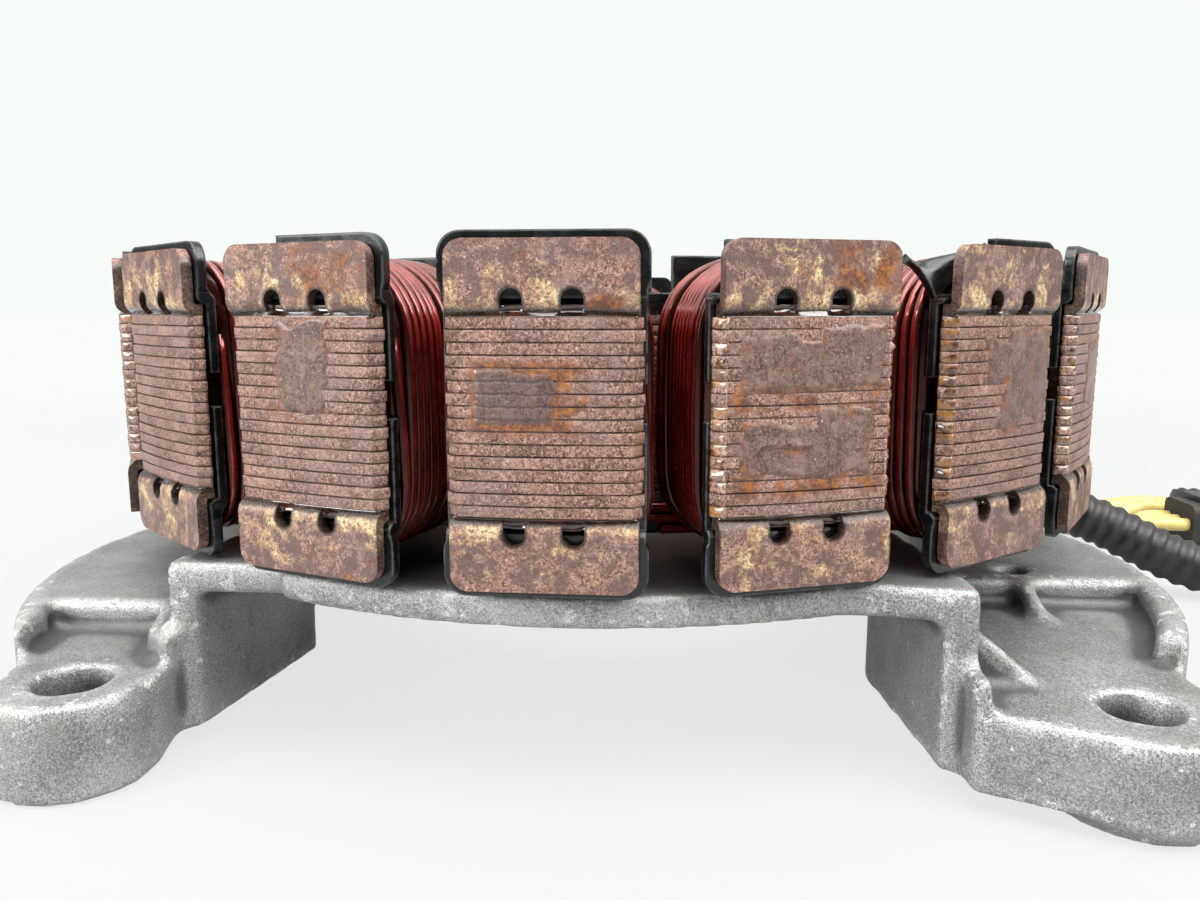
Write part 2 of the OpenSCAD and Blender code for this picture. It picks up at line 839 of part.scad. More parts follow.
module stator_base() {
    color(aluminium)
        difference() {
            union() {
                slab(-base_t, 0)
                    seat_2d();
                slab(-skirt_h, -base_t)
                    difference() {
                        circle(seat_r);
                        circle(seat_r - base_t);
                        translate([wall_mid_rear(left_wall)[0], -far])
                            square([wall_mid_rear(right_wall)[0] - wall_mid_rear(left_wall)[0], far]);
                    }
                slab(-collar_h, 0)
                    circle(crank_bore_r + collar_t);
                at_bolts()
                    cylinder(h = boss_h, d = boss_d);
                for (w = [left_wall, right_wall])
                    slab(-leg_drop, 0)
                        polygon(wall_points(w));
                for (side = [-1, 1])
                    wing(side);
                slab(-leg_drop, -pocket_drop)
                    difference() {
                        left_front_2d();
                        inside_wall_2d(left_wall);
                        translate([-far, left_wall[2]])
                            square(far);
                    }
                slab(-leg_drop, -pocket_drop)
                    difference() {
                        right_front_2d();
                        inside_wall_2d(right_wall);
                        translate([0, right_wall[2] - 0.5])
                            square(far);
                    }
                slab(-foot_drop, -pocket_drop)
                    translate(left_lug)
                        circle(left_lug_r);
                slab(-leg_drop, -pocket_drop)
                    translate(right_lug)
                        circle(right_lug_r);
                slab(-foot_drop, -pocket_drop)
                    translate(right_lug)
                        circle(right_lug_r - 1);
                translate([wall_points(right_wall)[1][0] - 0.4, right_wall[2] + rib_in, -pocket_drop])
                    gusset(7, pocket_drop - 3.6, 1.8);
                translate([aux_hole[0], right_pocket_y, -pocket_drop])
                    rotate([0, 0, -90])
                        gusset(7.4, pocket_drop - wing_drop, 1.8);
                rear_arm();
            }
            slab(-collar_h - over, over)
                circle(crank_bore_r);
            slab(-base_t - over, boss_h + over)
                bolt_holes_2d(bolt_d + 2 * bolt_gap);
            for (lug = [left_lug, right_lug, rear_lug])
                translate([lug[0], lug[1], -foot_drop - over])
                    cylinder(h = foot_drop, d = lug_hole_d);
            translate([aux_hole[0], aux_hole[1], -skirt_h - over])
                cylinder(h = skirt_h, d = aux_hole_d);
            // Way out for the lead, below the seat
            translate([clip_x, lead_y - notch_half, -skirt_h - over])
                cube([notch_l, 2 * notch_half, skirt_h + over - base_t]);
            // Slot for the phase tails
            translate([tail_x - tail_slot / 2, lead_y - tail_spacing - tail_slot / 2, -base_t - over])
                cube([tail_slot, 2 * tail_spacing + tail_slot, base_t + 2 * over]);
            translate([clip_x + clip_w / 2, clip_screw_y, -base_t - over])
                cylinder(h = base_t + 2 * over, d = clip_screw_d + 2 * bolt_gap);
        }
}

// Core bolts, with their washers on the upper end plate
module core_washers() {
    color(zinc)
        at_bolts()
            translate([0, 0, stack_z1 + plate_t])
                difference() {
                    cylinder(h = washer_t, d = washer_d);
                    translate([0, 0, -over])
                        cylinder(h = washer_t + 2 * over, d = bolt_d + 2 * bolt_free);
                }
}
module core_bolts() {
    seat_z = stack_z1 + plate_t + washer_t;
    color(zinc)
        at_bolts() {
            translate([0, 0, -base_t])
                cylinder(h = seat_z + base_t, d = bolt_d);
            translate([0, 0, seat_z])
                cylinder(h = head_h, d = head_w / cos(30), $fn = 6);
        }
}

// Lead

// Tails from the winding: down through the base's slot, round a bend and into the sleeve
module phase_tails() {
    top = mid_z - half_core - fit - cover_t;
    color(lead_yellow)
        for (i = [-1:1])
            translate([tail_x, lead_y + i * tail_spacing * 0.9, sleeve_z]) {
                translate([0, 0, tail_bend_r])
                    cylinder(h = top - sleeve_z - tail_bend_r, d = tail_d);
                translate([tail_bend_r, 0, tail_bend_r])
                    rotate([90, 0, 0])
                        rotate_extrude(angle = 90, start = 180)
                            translate([tail_bend_r, 0])
                                circle(d = tail_d);
                translate([tail_bend_r, 0, 0])
                    rotate([0, 90, 0])
                        cylinder(h = sleeve_x0 - tail_x - tail_bend_r, d = tail_d);
            }
}
// Strap below the sleeve with one ear against the seat's underside
module lead_clip() {
    drop = -base_t - sleeve_z;
    color(zinc)
        translate([clip_x, lead_y, sleeve_z])
            difference() {
                rotate([90, 0, 90])
                    linear_extrude(clip_w)
                        difference() {
                            union() {
                                circle(clip_r + clip_t);
                                translate([-clip_r - clip_t, 0])
                                    square([2 * (clip_r + clip_t), drop]);
                                translate([-clip_r - clip_t - clip_ear, drop - clip_t])
                                    square([clip_ear + clip_t, clip_t]);
                            }
                            circle(clip_r);
                            translate([-clip_r, 0])
                                square([2 * clip_r, far]);
                            translate([-far / 2, drop])
                                square(far);
                        }
                translate([clip_w / 2, clip_screw_y - lead_y, 0])
                    cylinder(h = far, d = clip_screw_d + 2 * bolt_gap);
            }
}
module clip_screw() {
    color(zinc)
        translate([clip_x + clip_w / 2, clip_screw_y, -base_t - clip_t]) {
            cylinder(h = base_t + clip_t - 4 * fit, d = clip_screw_d);
            translate([0, 0, -clip_head_h])
                cylinder(h = clip_head_h, d = clip_head_d);
        }
}
module lead_sleeve() {
    color(sleeve_black)
        tube_along(sleeve_route, sleeve_d, 12);
}
module yellow_lead(k) {
    color(lead_yellow)
        tube_along(lead_path(k), lead_d, 8);
}

// Three-way connector: it lies on the floor with its mouth away from the leads
module at_connector() {
    translate([conn_pos[0], conn_pos[1], floor_z + conn_h / 2])
        rotate([90, 0, 90])
            children();
}
module connector_seal() {
    color(seal_brown)
        at_connector()
            linear_extrude(seal_t)
                rounded_square(conn_w - conn_step, 0.66 * conn_h, conn_corner_r);
}
module lead_connector() {
    color(black_plastic)
        at_connector()
            translate([0, 0, seal_t])
                difference() {
                    union() {
                        linear_extrude(conn_l - seal_t)
                            rounded_square(conn_w, conn_h - conn_step, conn_corner_r);
                        translate([0, 0, conn_l - seal_t - mouth_depth])
                            linear_extrude(2)
                                rounded_square(conn_w + conn_step, conn_h, conn_corner_r);
                        translate([-2 * rib_t, conn_h / 2 - rib_t, 2 * rib_t])
                            cube([4 * rib_t, rib_t, conn_l - seal_t - 5 * rib_t]);
                    }
                    translate([0, 0, conn_l - seal_t - mouth_depth])
                        linear_extrude(mouth_depth + over)
                            rounded_square(conn_w - 2 * mouth_wall, conn_h - conn_step - 2 * mouth_wall,
                                           conn_corner_r / 2);
                }
}
module connector_terminals() {
    color(tinned)
        at_connector()
            for (i = [-1:1])
                translate([i * terminal_pitch, 0, conn_l - mouth_depth])
                    linear_extrude(mouth_depth - 2 * mouth_wall)
                        square(terminal_size, center = true);
}

stator_base();
lower_end_plate();
upper_end_plate();
lower_insulator();
upper_insulator();
jumper_wires();
core_bolts();
core_washers();
phase_tails();
lead_clip();
clip_screw();
lead_sleeve();
lead_connector();
connector_seal();
connector_terminals();
for (i = [1:sheet_count])
    lamination(i);
for (i = [1:pole_count])
    coil(i);
for (i = [1:LEAD_COUNT])
    yellow_lead(i);
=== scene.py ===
"""Dresses the wound stator: enamelled coils, rusted core, black insulators, grainy casting and leads."""
import math

import bpy
import numpy as np
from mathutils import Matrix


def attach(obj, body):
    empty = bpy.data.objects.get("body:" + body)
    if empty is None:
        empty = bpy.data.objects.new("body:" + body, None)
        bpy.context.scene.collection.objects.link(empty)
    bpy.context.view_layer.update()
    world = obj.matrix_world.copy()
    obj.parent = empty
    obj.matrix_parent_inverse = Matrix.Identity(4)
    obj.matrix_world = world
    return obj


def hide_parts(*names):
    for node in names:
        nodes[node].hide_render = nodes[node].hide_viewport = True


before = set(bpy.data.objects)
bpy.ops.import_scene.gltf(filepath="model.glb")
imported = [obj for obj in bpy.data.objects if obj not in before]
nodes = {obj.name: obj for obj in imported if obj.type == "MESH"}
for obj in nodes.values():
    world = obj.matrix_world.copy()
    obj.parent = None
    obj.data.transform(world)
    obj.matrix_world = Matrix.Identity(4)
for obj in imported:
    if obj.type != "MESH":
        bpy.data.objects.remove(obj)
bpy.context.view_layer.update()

MM = 0.001

# Sizes of the object in millimetres and degrees, in the frame of the crank axis
POLES = 18
FIRST_POLE = -1.5
POLE_PITCH = 20.0
MID_Z = 15.0
CORE_R = 62.0
STACK_LOW, STACK_HIGH = 7.0, 23.0
HALF_STACK = (STACK_HIGH - STACK_LOW) / 2
SHEET_COUNT = int(STACK_HIGH - STACK_LOW)
BEVEL_T = 7.0
TAB_HALF = 7.45
TAB_MIDDLE = 10.6
NOTCH_T, NOTCH_UP = 2.4, 9.3
NOTCH_HALF = 1.15
FLOOR_Z = -18.0
WIRE_D = 1.0
SLEEVE_D = 7.0
RIB_PITCH, RIB_SWING = 2.1, 0.19
LEAD_D = 2.2
SLEEVE_ROUTE = np.array([
    [36, 9, -6.6], [44, 9, -6.6], [52, 9, -6.6], [58, 9, -6.2], [64, 9, -6.2], [69, 8.6, -6.8],
    [73.5, 7.6, -8.2], [78, 6, -10.4], [82.5, 4.2, -12.6], [87, 2.4, -14], [92, 0.8, -14.5],
    [98, 0, -14.5], [105, 0.6, -14.5], [112.5, 3.2, -14.5], [119, 8, -14.5], [124, 14.5, -14.5],
    [127, 22, -14.5], [127.8, 30, -14.5], [126, 38, -14.5], [121.5, 45, -14.5], [115, 49.5, -14.5],
    [108, 51, -14.5]])
LEAD_ROUTE = np.array([
    [107.9, 51, -14.5], [102.4, 52.2, -14.5], [96.6, 52, -15.6], [91.2, 49.8, -16.6], [87, 46, -16.9],
    [84.6, 41, -16.7], [85, 35.6, -15.8], [88, 31.2, -14.4], [92.4, 29, -12.7], [96.9, 29, -12.7]])
LEAD_SPREAD = 3.0
LEAD_BUNCH = 2.35
MIDDLE_LEAD = 2
LEAD_CARRIES = {1: "connector_seal", 2: "lead_connector", 3: "connector_terminals"}


# Shapes

def unit(v):
    """Each row divided by its length."""
    return v / np.linalg.norm(v, axis=-1, keepdims=True)


def ramp(x):
    """Values held between 0 and 1."""
    return np.clip(x, 0, 1)


def ease(x):
    """A smooth step from 0 to 1: x x (3 - 2 x)."""
    return x * x * (3 - 2 * x)


def grid_faces(rows, cols, start=0, close_rows=False):
    """Quads of a grid of rows x cols points, numbered row by row, whose columns close into a ring."""
    r = np.arange(rows if close_rows else rows - 1)[:, None]
    c = np.arange(cols)[None, :]
    low, high = r * cols, ((r + 1) % rows) * cols
    quads = np.stack([low + c, low + (c + 1) % cols, high + (c + 1) % cols, high + c], -1)
    return quads.reshape(-1, 4) + start


def sweep(path, side, up, radius, sides, start=0):
    """A round tube: path(s) + radius(s) (cos a side(s) + sin a up(s)), with flat ends."""
    a = np.linspace(0, 2 * math.pi, sides, endpoint=False)
    ring = np.cos(a)[None, :, None] * side[:, None] + np.sin(a)[None, :, None] * up[:, None]
    points = path[:, None] + np.broadcast_to(radius, len(path))[:, None, None] * ring
    ahead = np.einsum("ij,ij->i", np.cross(side, up), np.gradient(path, axis=0)).sum() > 0
    quads = grid_faces(len(path), sides, start)
    if not ahead:
        quads = quads[:, ::-1]
    first = np.arange(sides) + start
    last = first + (len(path) - 1) * sides
    caps = [first[::-1], last] if ahead else [first, last[::-1]]
    return points.reshape(-1, 3), quads.tolist() + [c.tolist() for c in caps]


def smooth_route(points, step):
    """A smooth curve through the points, about one point every step.

    From b to c it is the cubic whose slope is (c - a) / 2 at b and (d - b) / 2 at c."""
    p = np.vstack([2 * points[0] - points[1], points, 2 * points[-1] - points[-2]])
    a, b, c, d = p[:-3], p[1:-2], p[2:-1], p[3:]
    count = int(np.ceil(np.linalg.norm(c - b, axis=1).max() / step))
    t = np.linspace(0, 1, count, endpoint=False)[None, :, None]
    a, b, c, d = (q[:, None] for q in (a, b, c, d))
    curve = 0.5 * (2 * b + (c - a) * t + (2 * a - 5 * b + 4 * c - d) * t ** 2
                   + (3 * b - a - 3 * c + d) * t ** 3)
    return np.vstack([curve.reshape(-1, 3), points[-1:]])


def route_frame(path):
    """Directions across and above a route that never climbs steeply.

    side = heading x z, up = side x heading."""
    ahead = unit(np.gradient(path, axis=0))
    side = unit(np.cross(ahead, [0.0, 0.0, 1.0]))
    return side, np.cross(side, ahead)


def run_length(path):
    """Distance along a path from its start to each point."""
    return np.concatenate([[0], np.cumsum(np.linalg.norm(np.diff(path, axis=0), axis=1))])


def rounded_loop(half_w, half_h, r, bow, per_corner=10, per_side=5):
    """Rounded rectangle: corner arcs c + r (cos f, sin f) with straight sides between.

    The upright sides bow out by bow cos(pi y / 2h)."""
    f = np.linspace(0, math.pi / 2, per_corner)
    arcs = []
    for q, sx, sy in ((0, 1, 1), (1, -1, 1), (2, -1, -1), (3, 1, -1)):
        n = np.stack([np.cos(f + q * math.pi / 2), np.sin(f + q * math.pi / 2)], 1)
        arcs.append((np.array([sx * (half_w - r), sy * (half_h - r)]) + r * n, n))
    t = np.linspace(0, 1, per_side + 2)[1:-1, None]
    points, normals = [], []
    for q in range(4):
        here, after = arcs[q], arcs[(q + 1) % 4]
        points += [here[0], here[0][-1] + t * (after[0][0] - here[0][-1])]
        normals += [here[1], np.repeat(here[1][-1:], per_side, 0)]
    points, normals = np.vstack(points), np.vstack(normals)
    swell = bow * np.abs(normals[:, :1]) * np.cos(math.pi * points[:, 1:] / (2 * half_h))
    return points + normals * swell, normals


def ribbon_faces(rows, cols, start, flip):
    """Faces of one swept piece of rows closed rings of cols points, with a flat cap at both ends."""
    quads = grid_faces(rows, cols, start)
    first = np.arange(cols) + start
    caps = [first[::-1], first + (rows - 1) * cols]
    if flip:
        quads, caps = quads[:, ::-1], [cap[::-1] for cap in caps]
    return quads.tolist() + [cap.tolist() for cap in caps]


def from_pole(points, k):
    """Pole frame (across, up, outwards) to the object's frame, for pole k."""
    f = math.radians(FIRST_POLE + k * POLE_PITCH)
    x, y, z = points[..., 0], points[..., 1], points[..., 2]
    return np.stack([x * math.cos(f) + z * math.sin(f), x * math.sin(f) - z * math.cos(f), y + MID_Z], -1)


def piece(name, points, faces, material, replaced=(), smooth=True):
    """A mesh piece at the origin from points in millimetres, riding on the one body."""
    mesh = bpy.data.meshes.new(name)
    mesh.from_pydata((np.asarray(points) * MM).tolist(), [], faces)
    mesh.polygons.foreach_set("use_smooth", np.full(len(mesh.polygons), smooth))
    mesh.materials.append(material)
    mesh.update()
    obj = bpy.data.objects.new(name, mesh)
    bpy.context.scene.collection.objects.link(obj)
    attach(obj, "root")
    if replaced:
        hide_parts(*replaced)
    return obj


def carry(mesh, name, values):
    """Stores one value for each point of a mesh, for its material to read."""
    mesh.attributes.new(name, "FLOAT", "POINT").data.foreach_set("value", values)


# Shader maths

class Value:
    """A socket of one node tree: operators add Math nodes, node() adds any other node."""

    def __init__(self, tree, socket=None):
        self.tree = tree
        self.socket = socket

    def node(self, kind, settings=None, out=0, **values):
        made = self.tree.nodes.new(kind)
        for key, value in (settings or {}).items():
            setattr(made, key, value)
        for key, value in values.items():
            name = key.replace("_", " ")
            socket = made.inputs[int(key[1:])] if key[1:].isdigit() else made.inputs[name]
            if isinstance(value, Value):
                self.tree.links.new(value.socket, socket)
            else:
                socket.default_value = (*value, 1) if socket.type == "RGBA" and len(value) == 3 else value
        return Value(self.tree, made.outputs[out])

    def maths(self, operation, a, b=0.0, c=0.0):
        return self.node("ShaderNodeMath", {"operation": operation}, i0=a, i1=b, i2=c)

    def __add__(self, other):
        return self.maths("ADD", self, other)

    def __sub__(self, other):
        return self.maths("SUBTRACT", self, other)

    def __mul__(self, other):
        return self.maths("MULTIPLY", self, other)

    def __rsub__(self, other):
        return self.maths("SUBTRACT", other, self)

    def __neg__(self):
        return self.maths("MULTIPLY", self, -1.0)

    def __abs__(self):
        return self.maths("ABSOLUTE", self)

    __radd__ = __add__
    __rmul__ = __mul__

    def least(self, other):
        return self.maths("MINIMUM", self, other)

    def most(self, other):
        return self.maths("MAXIMUM", self, other)

    def step(self, low, high, start=0.0, end=1.0):
        """A smooth step of the value from start at low to end at high."""
        return self.node("ShaderNodeMapRange", {"interpolation_type": "SMOOTHSTEP"}, Value=self,
                         From_Min=low, From_Max=high, To_Min=start, To_Max=end)

    def blend(self, a, b):
        """Colour a where the value is 0, colour b where it is 1."""
        return self.node("ShaderNodeMix", {"data_type": "RGBA"}, out=2, i0=self, i6=a, i7=b)

    def noise(self, scale, detail=3.0, rough=0.55, warp=0.0):
        """Noise on this vector; a scale of 1 has features of about a millimetre."""
        return self.node("ShaderNodeTexNoise", Vector=self, Scale=scale, Detail=detail, Roughness=rough,
                         Distortion=warp)

    def bump(self, strength, distance, normal=None):
        """A normal from this height, with the distance in millimetres."""
        extra = {} if normal is None else {"Normal": normal}
        return self.node("ShaderNodeBump", Strength=strength, Distance=distance * MM, Height=self, **extra)

    def outputs(self, *keys):
        """Other outputs of the node that made this value."""
        return [Value(self.tree, self.socket.node.outputs[key]) for key in keys]

    def carried(self, name):
        """A value that the mesh carries on its points."""
        return self.node("ShaderNodeAttribute", {"attribute_name": name}, out="Fac")


def empty_tree(owner):
    """The start value in the emptied node tree of a material or a world."""
    owner.use_nodes = True
    owner.node_tree.nodes.clear()
    return Value(owner.node_tree)


def end_tree(shader, kind="ShaderNodeOutputMaterial"):
    """Joins the last shader to the output of its tree."""
    end = shader.tree.nodes.new(kind)
    shader.tree.links.new(shader.socket, end.inputs["Surface"])


def material(name):
    """A new material: its start value, the place in millimetres, and a function that closes it."""
    made = bpy.data.materials.new(name)
    start = empty_tree(made)
    place = start.node("ShaderNodeTexCoord", out="Object")
    place = start.node("ShaderNodeVectorMath", {"operation": "SCALE"}, Vector=place, Scale=1 / MM)

    def close(**sockets):
        end_tree(start.node("ShaderNodeBsdfPrincipled", **sockets))
        return made

    return start, place, close


SAME_POLE = 0.4


def pole_place(start, place):
    """Pole number k, and distances across (t) and up (z) on a pole's face, in millimetres.

    The angle from the front is atan2(x, -y); k is the nearest whole pole, and t = (angle - centre) R."""
    x, y, z = start.node("ShaderNodeSeparateXYZ", Vector=place).outputs("X", "Y", "Z")
    turns = start.maths("ARCTAN2", x, -y) * (180 / math.pi / POLE_PITCH) - FIRST_POLE / POLE_PITCH
    k = start.maths("ROUND", turns)
    across = (turns - k) * (math.radians(POLE_PITCH) * CORE_R)
    return k, across, z


def on_pole(k, pole):
    """1 on one pole, 0 on the others."""
    return k.maths("COMPARE", k, float(pole), SAME_POLE)


def patch(k, t, z, pole, box, soft):
    """1 inside the box (t from, t to, z from, z to) on one pole, 0 outside, softened at its rim."""
    inside = (t - box[0]).least(box[1] - t).least((z - box[2]).least(box[3] - z))
    return inside.step(-soft, soft) * on_pole(k, pole)


# Finishes

MAUVE = (0.300, 0.160, 0.118)
DARK_BROWN = (0.058, 0.023, 0.016)
TAN = (0.53, 0.335, 0.235)
PALE_GRIT = (0.82, 0.66, 0.54)
LILAC = (0.205, 0.138, 0.138)
ORANGE = (0.32, 0.105, 0.014)
RED_BROWN = (0.088, 0.026, 0.009)
RUSSET = (0.170, 0.066, 0.042)
DUSK = (0.100, 0.056, 0.052)
OCHRE = (0.52, 0.335, 0.155)
CREAM = (0.80, 0.63, 0.38)
TAR = (0.020, 0.010, 0.008)
SEAM_BROWN = (0.033, 0.019, 0.015)
RUN_DEEP, RUN_THIN = (0.055, 0.020, 0.009), (0.20, 0.105, 0.045)
FILM_DARK, FILM_PALE = (0.050, 0.024, 0.019), (0.190, 0.112, 0.090)
FILM_LILAC, FILM_TAN = (0.135, 0.090, 0.092), (0.245, 0.148, 0.115)
FILM_SEAM = (0.040, 0.020, 0.023)
# pale grey of the painted highlight on the moulding's edges
EDGE_HIGHLIGHT_GREY = (0.17, 0.175, 0.17)
RED_BRIGHT, RED_DEEP = (0.40, 0.032, 0.018), (0.19, 0.010, 0.006)
# near black: the painted shade on the sides of each wire
RED_PAINTED_SHADE = (0.012, 0.002, 0.001)
VARNISH_DEEP, VARNISH_THIN = (0.010, 0.006, 0.005), (0.075, 0.020, 0.010)
AMBER_DEEP, AMBER_THIN = (0.050, 0.017, 0.006), (0.30, 0.125, 0.026)
BARE_DARK, BARE_PALE = (0.16, 0.075, 0.050), (0.52, 0.34, 0.26)
CAST_DARK, CAST_PALE = (0.130, 0.133, 0.130), (0.410, 0.417, 0.410)
CAST_SPECK, CAST_WARM = (0.74, 0.75, 0.74), (0.30, 0.28, 0.225)
CAST_WORN, OXIDE_WHITE = (0.60, 0.595, 0.57), (0.80, 0.80, 0.78)
# near black: the colour of random soot and also of the casting's painted shade and shadow
SOOT_AND_SHADE = (0.045, 0.043, 0.040)
ZINC_DULL, ZINC_PALE = (0.24, 0.235, 0.22), (0.40, 0.395, 0.37)

# Orange bloom: pole, box (across from, to, up from, to) in millimetres, and two limits of the blotches
SHEET_BLOOM = (
    (1, (-6.6, 6.6, 15.6, 17.7), 0.44, 0.58), (1, (-6.3, 6.6, 8.6, 10.4), 0.40, 0.56),
    (2, (-5.5, 7.4, 12.4, 22.4), 0.50, 0.66), (-1, (-3.6, 4.2, 13.6, 22.6), 0.54, 0.68))
TAB_BLOOM = (
    (1, (1.6, 7.6, 25.0, 28.8), 0.36, 0.56), (-1, (-1.0, 7.2, 24.2, 28.8), 0.44, 0.60))
FRONT_BLOOM = (-5.7, 3.3, 13.9, 19.5)
FRONT_TAB_SPOT = (3.2, 6.4, 23.3, 24.6)


def rust_ground(place, shift=0.0):
    """Grit, clouds and specks that every rusted face shares; shift makes all of it paler or darker."""
    grit = place.noise(3.2, 5, 0.74)
    fine = place.noise(7.0, 3, 0.68)
    cloud = place.noise(0.20, 4, 0.62)
    tone = grit * 0.55 + fine * 0.45 + shift
    colour = tone.step(0.40, 0.54).blend(DARK_BROWN, MAUVE)
    colour = (tone.step(0.51, 0.61) * 0.55).blend(colour, TAN)
    colour = (cloud.step(0.46, 0.64) * 0.45).blend(colour, LILAC)
    colour = (place.noise(1.2, 4, 0.68).step(0.53, 0.66) * 0.5).blend(colour, RUSSET)
    colour = (fine.step(0.58, 0.69) * 0.45).blend(colour, PALE_GRIT)
    return grit, fine, colour


def rust_bloom(place):
    """Orange rust that runs from dark red brown to bright orange."""
    tone = place.noise(1.1, 4, 0.7) * 0.65 + place.noise(4.0, 2, 0.6) * 0.35
    return tone.step(0.42, 0.62).blend(RED_BROWN, ORANGE)


def rusted_sheets():
    """Edges of the laminations: mauve grit, a dark line at each seam, orange bloom round the worn places.

    Between two seams the height is 4 q (1 - q), q the place in the sheet, so each edge looks rounded."""
    start, place, close = material("rusted_sheets")
    k, t, z = pole_place(start, place)
    row = start.maths("FLOOR", z - STACK_LOW)
    streak = start.node("ShaderNodeCombineXYZ", X=t * 0.25 + k * 9.0, Y=row * 1.7).noise(1.0, 3, 0.6)
    grit, fine, colour = rust_ground(place, (streak - 0.5) * 0.24 - 0.012)
    ragged = place.noise(0.7, 5, 0.72) - 0.5
    blotch = place.noise(0.45, 4, 0.65, 0.4)
    wt, wz = t + ragged * 2.6, z + (place.noise(0.9, 4, 0.7) - 0.5) * 1.3
    colour = (blotch.step(0.58, 0.70) * 0.45).blend(colour, RED_BROWN)
    rims = patch(k, wt, wz, 0, FRONT_BLOOM, 0.5) * (blotch - wt * 0.03).step(0.26, 0.46)
    for pole, box, low, high in SHEET_BLOOM:
        rims = rims.most(patch(k, wt, wz, pole, box, 0.4) * blotch.step(low, high))
    rims = rims.most(place.noise(0.5, 4, 0.72).step(0.66, 0.74) * 0.7)
    colour = rims.blend(colour, rust_bloom(place))
    seam = start.maths("FRACT", z - STACK_LOW + (place.noise(0.35, 2) - 0.5) * 0.08)
    line = seam.step(0.0, 0.08, 1.0, 0.0).most(seam.step(0.96, 1.0))
    line = line * place.noise(0.8, 2).step(0.30, 0.55)
    colour = (line * 0.55).blend(colour, SEAM_BROWN)
    bevel = abs(t).step(BEVEL_T, BEVEL_T + 0.25)
    run = bevel * blotch.step(0.50, 0.66) * 0.7
    colour = (run * 0.75).blend(colour, blotch.step(0.35, 0.6).blend(RUN_DEEP, RUN_THIN))
    round_edge = seam * (1.0 - seam) * 4.0
    height = grit * 0.55 + fine * 0.4 - line * 0.8 + round_edge * (bevel * 0.9 + 0.35) + run * ragged * 1.6
    return close(Base_Color=colour, Metallic=0.05,
                 Roughness=grit.step(0.35, 0.65, 0.40, 0.60) - rims * 0.10 - run * 0.22,
                 Coat_Weight=(rims * 0.4 + 0.06).most(run), Coat_Roughness=0.12,
                 Normal=height.bump(0.9, 0.13))


def worn_film():
    """Rubbed places where varnish bridges the sheets: smooth grey lilac, amber and glossy at the rim."""
    start, place, close = material("worn_film")
    rim = start.carried("rim")
    k, t, z = pole_place(start, place)
    rubbed = start.node("ShaderNodeCombineXYZ", X=t * 4.0 + k * 9.0, Y=z * 0.5).noise(1.0, 3, 0.6)
    grit = place.noise(4.2, 4, 0.72)
    cloud = place.noise(0.4, 4, 0.65)
    tone = grit * 0.7 + cloud * 0.25 + rubbed * 0.2
    colour = tone.step(0.46, 0.68).blend(FILM_DARK, FILM_PALE)
    colour = (cloud.step(0.50, 0.66) * 0.4).blend(colour, FILM_LILAC)
    colour = (place.noise(0.6, 4, 0.7, 0.4).step(0.52, 0.62) * 0.6).blend(colour, FILM_TAN)
    colour = (place.noise(0.45, 5, 0.72).step(0.56, 0.68) * 0.7).blend(colour, rust_bloom(place))
    colour = (place.noise(5.0, 2).step(0.66, 0.76) * 0.6).blend(colour, PALE_GRIT)
    wet = on_pole(k, 0)
    row = abs(start.maths("FRACT", z - STACK_LOW + (cloud - 0.5) * 0.8) - 0.5)
    colour = (wet * row.step(0.30, 0.50, 0.35, 0.80)).blend(colour, FILM_SEAM)
    amber = (rim * place.noise(0.6, 3, 0.6).step(0.38, 0.56)) * 0.8
    colour = amber.blend(colour, rust_bloom(place))
    height = grit + cloud * 0.8 - wet * row.step(0.30, 0.50) * 0.8
    return close(Base_Color=colour, Roughness=grit.step(0.35, 0.65, 0.32, 0.50) - wet * 0.10,
                 Coat_Weight=rim * 0.15 + wet * 0.5 + 0.15, Coat_Roughness=0.12,
                 Normal=height.bump(0.6, 0.12))


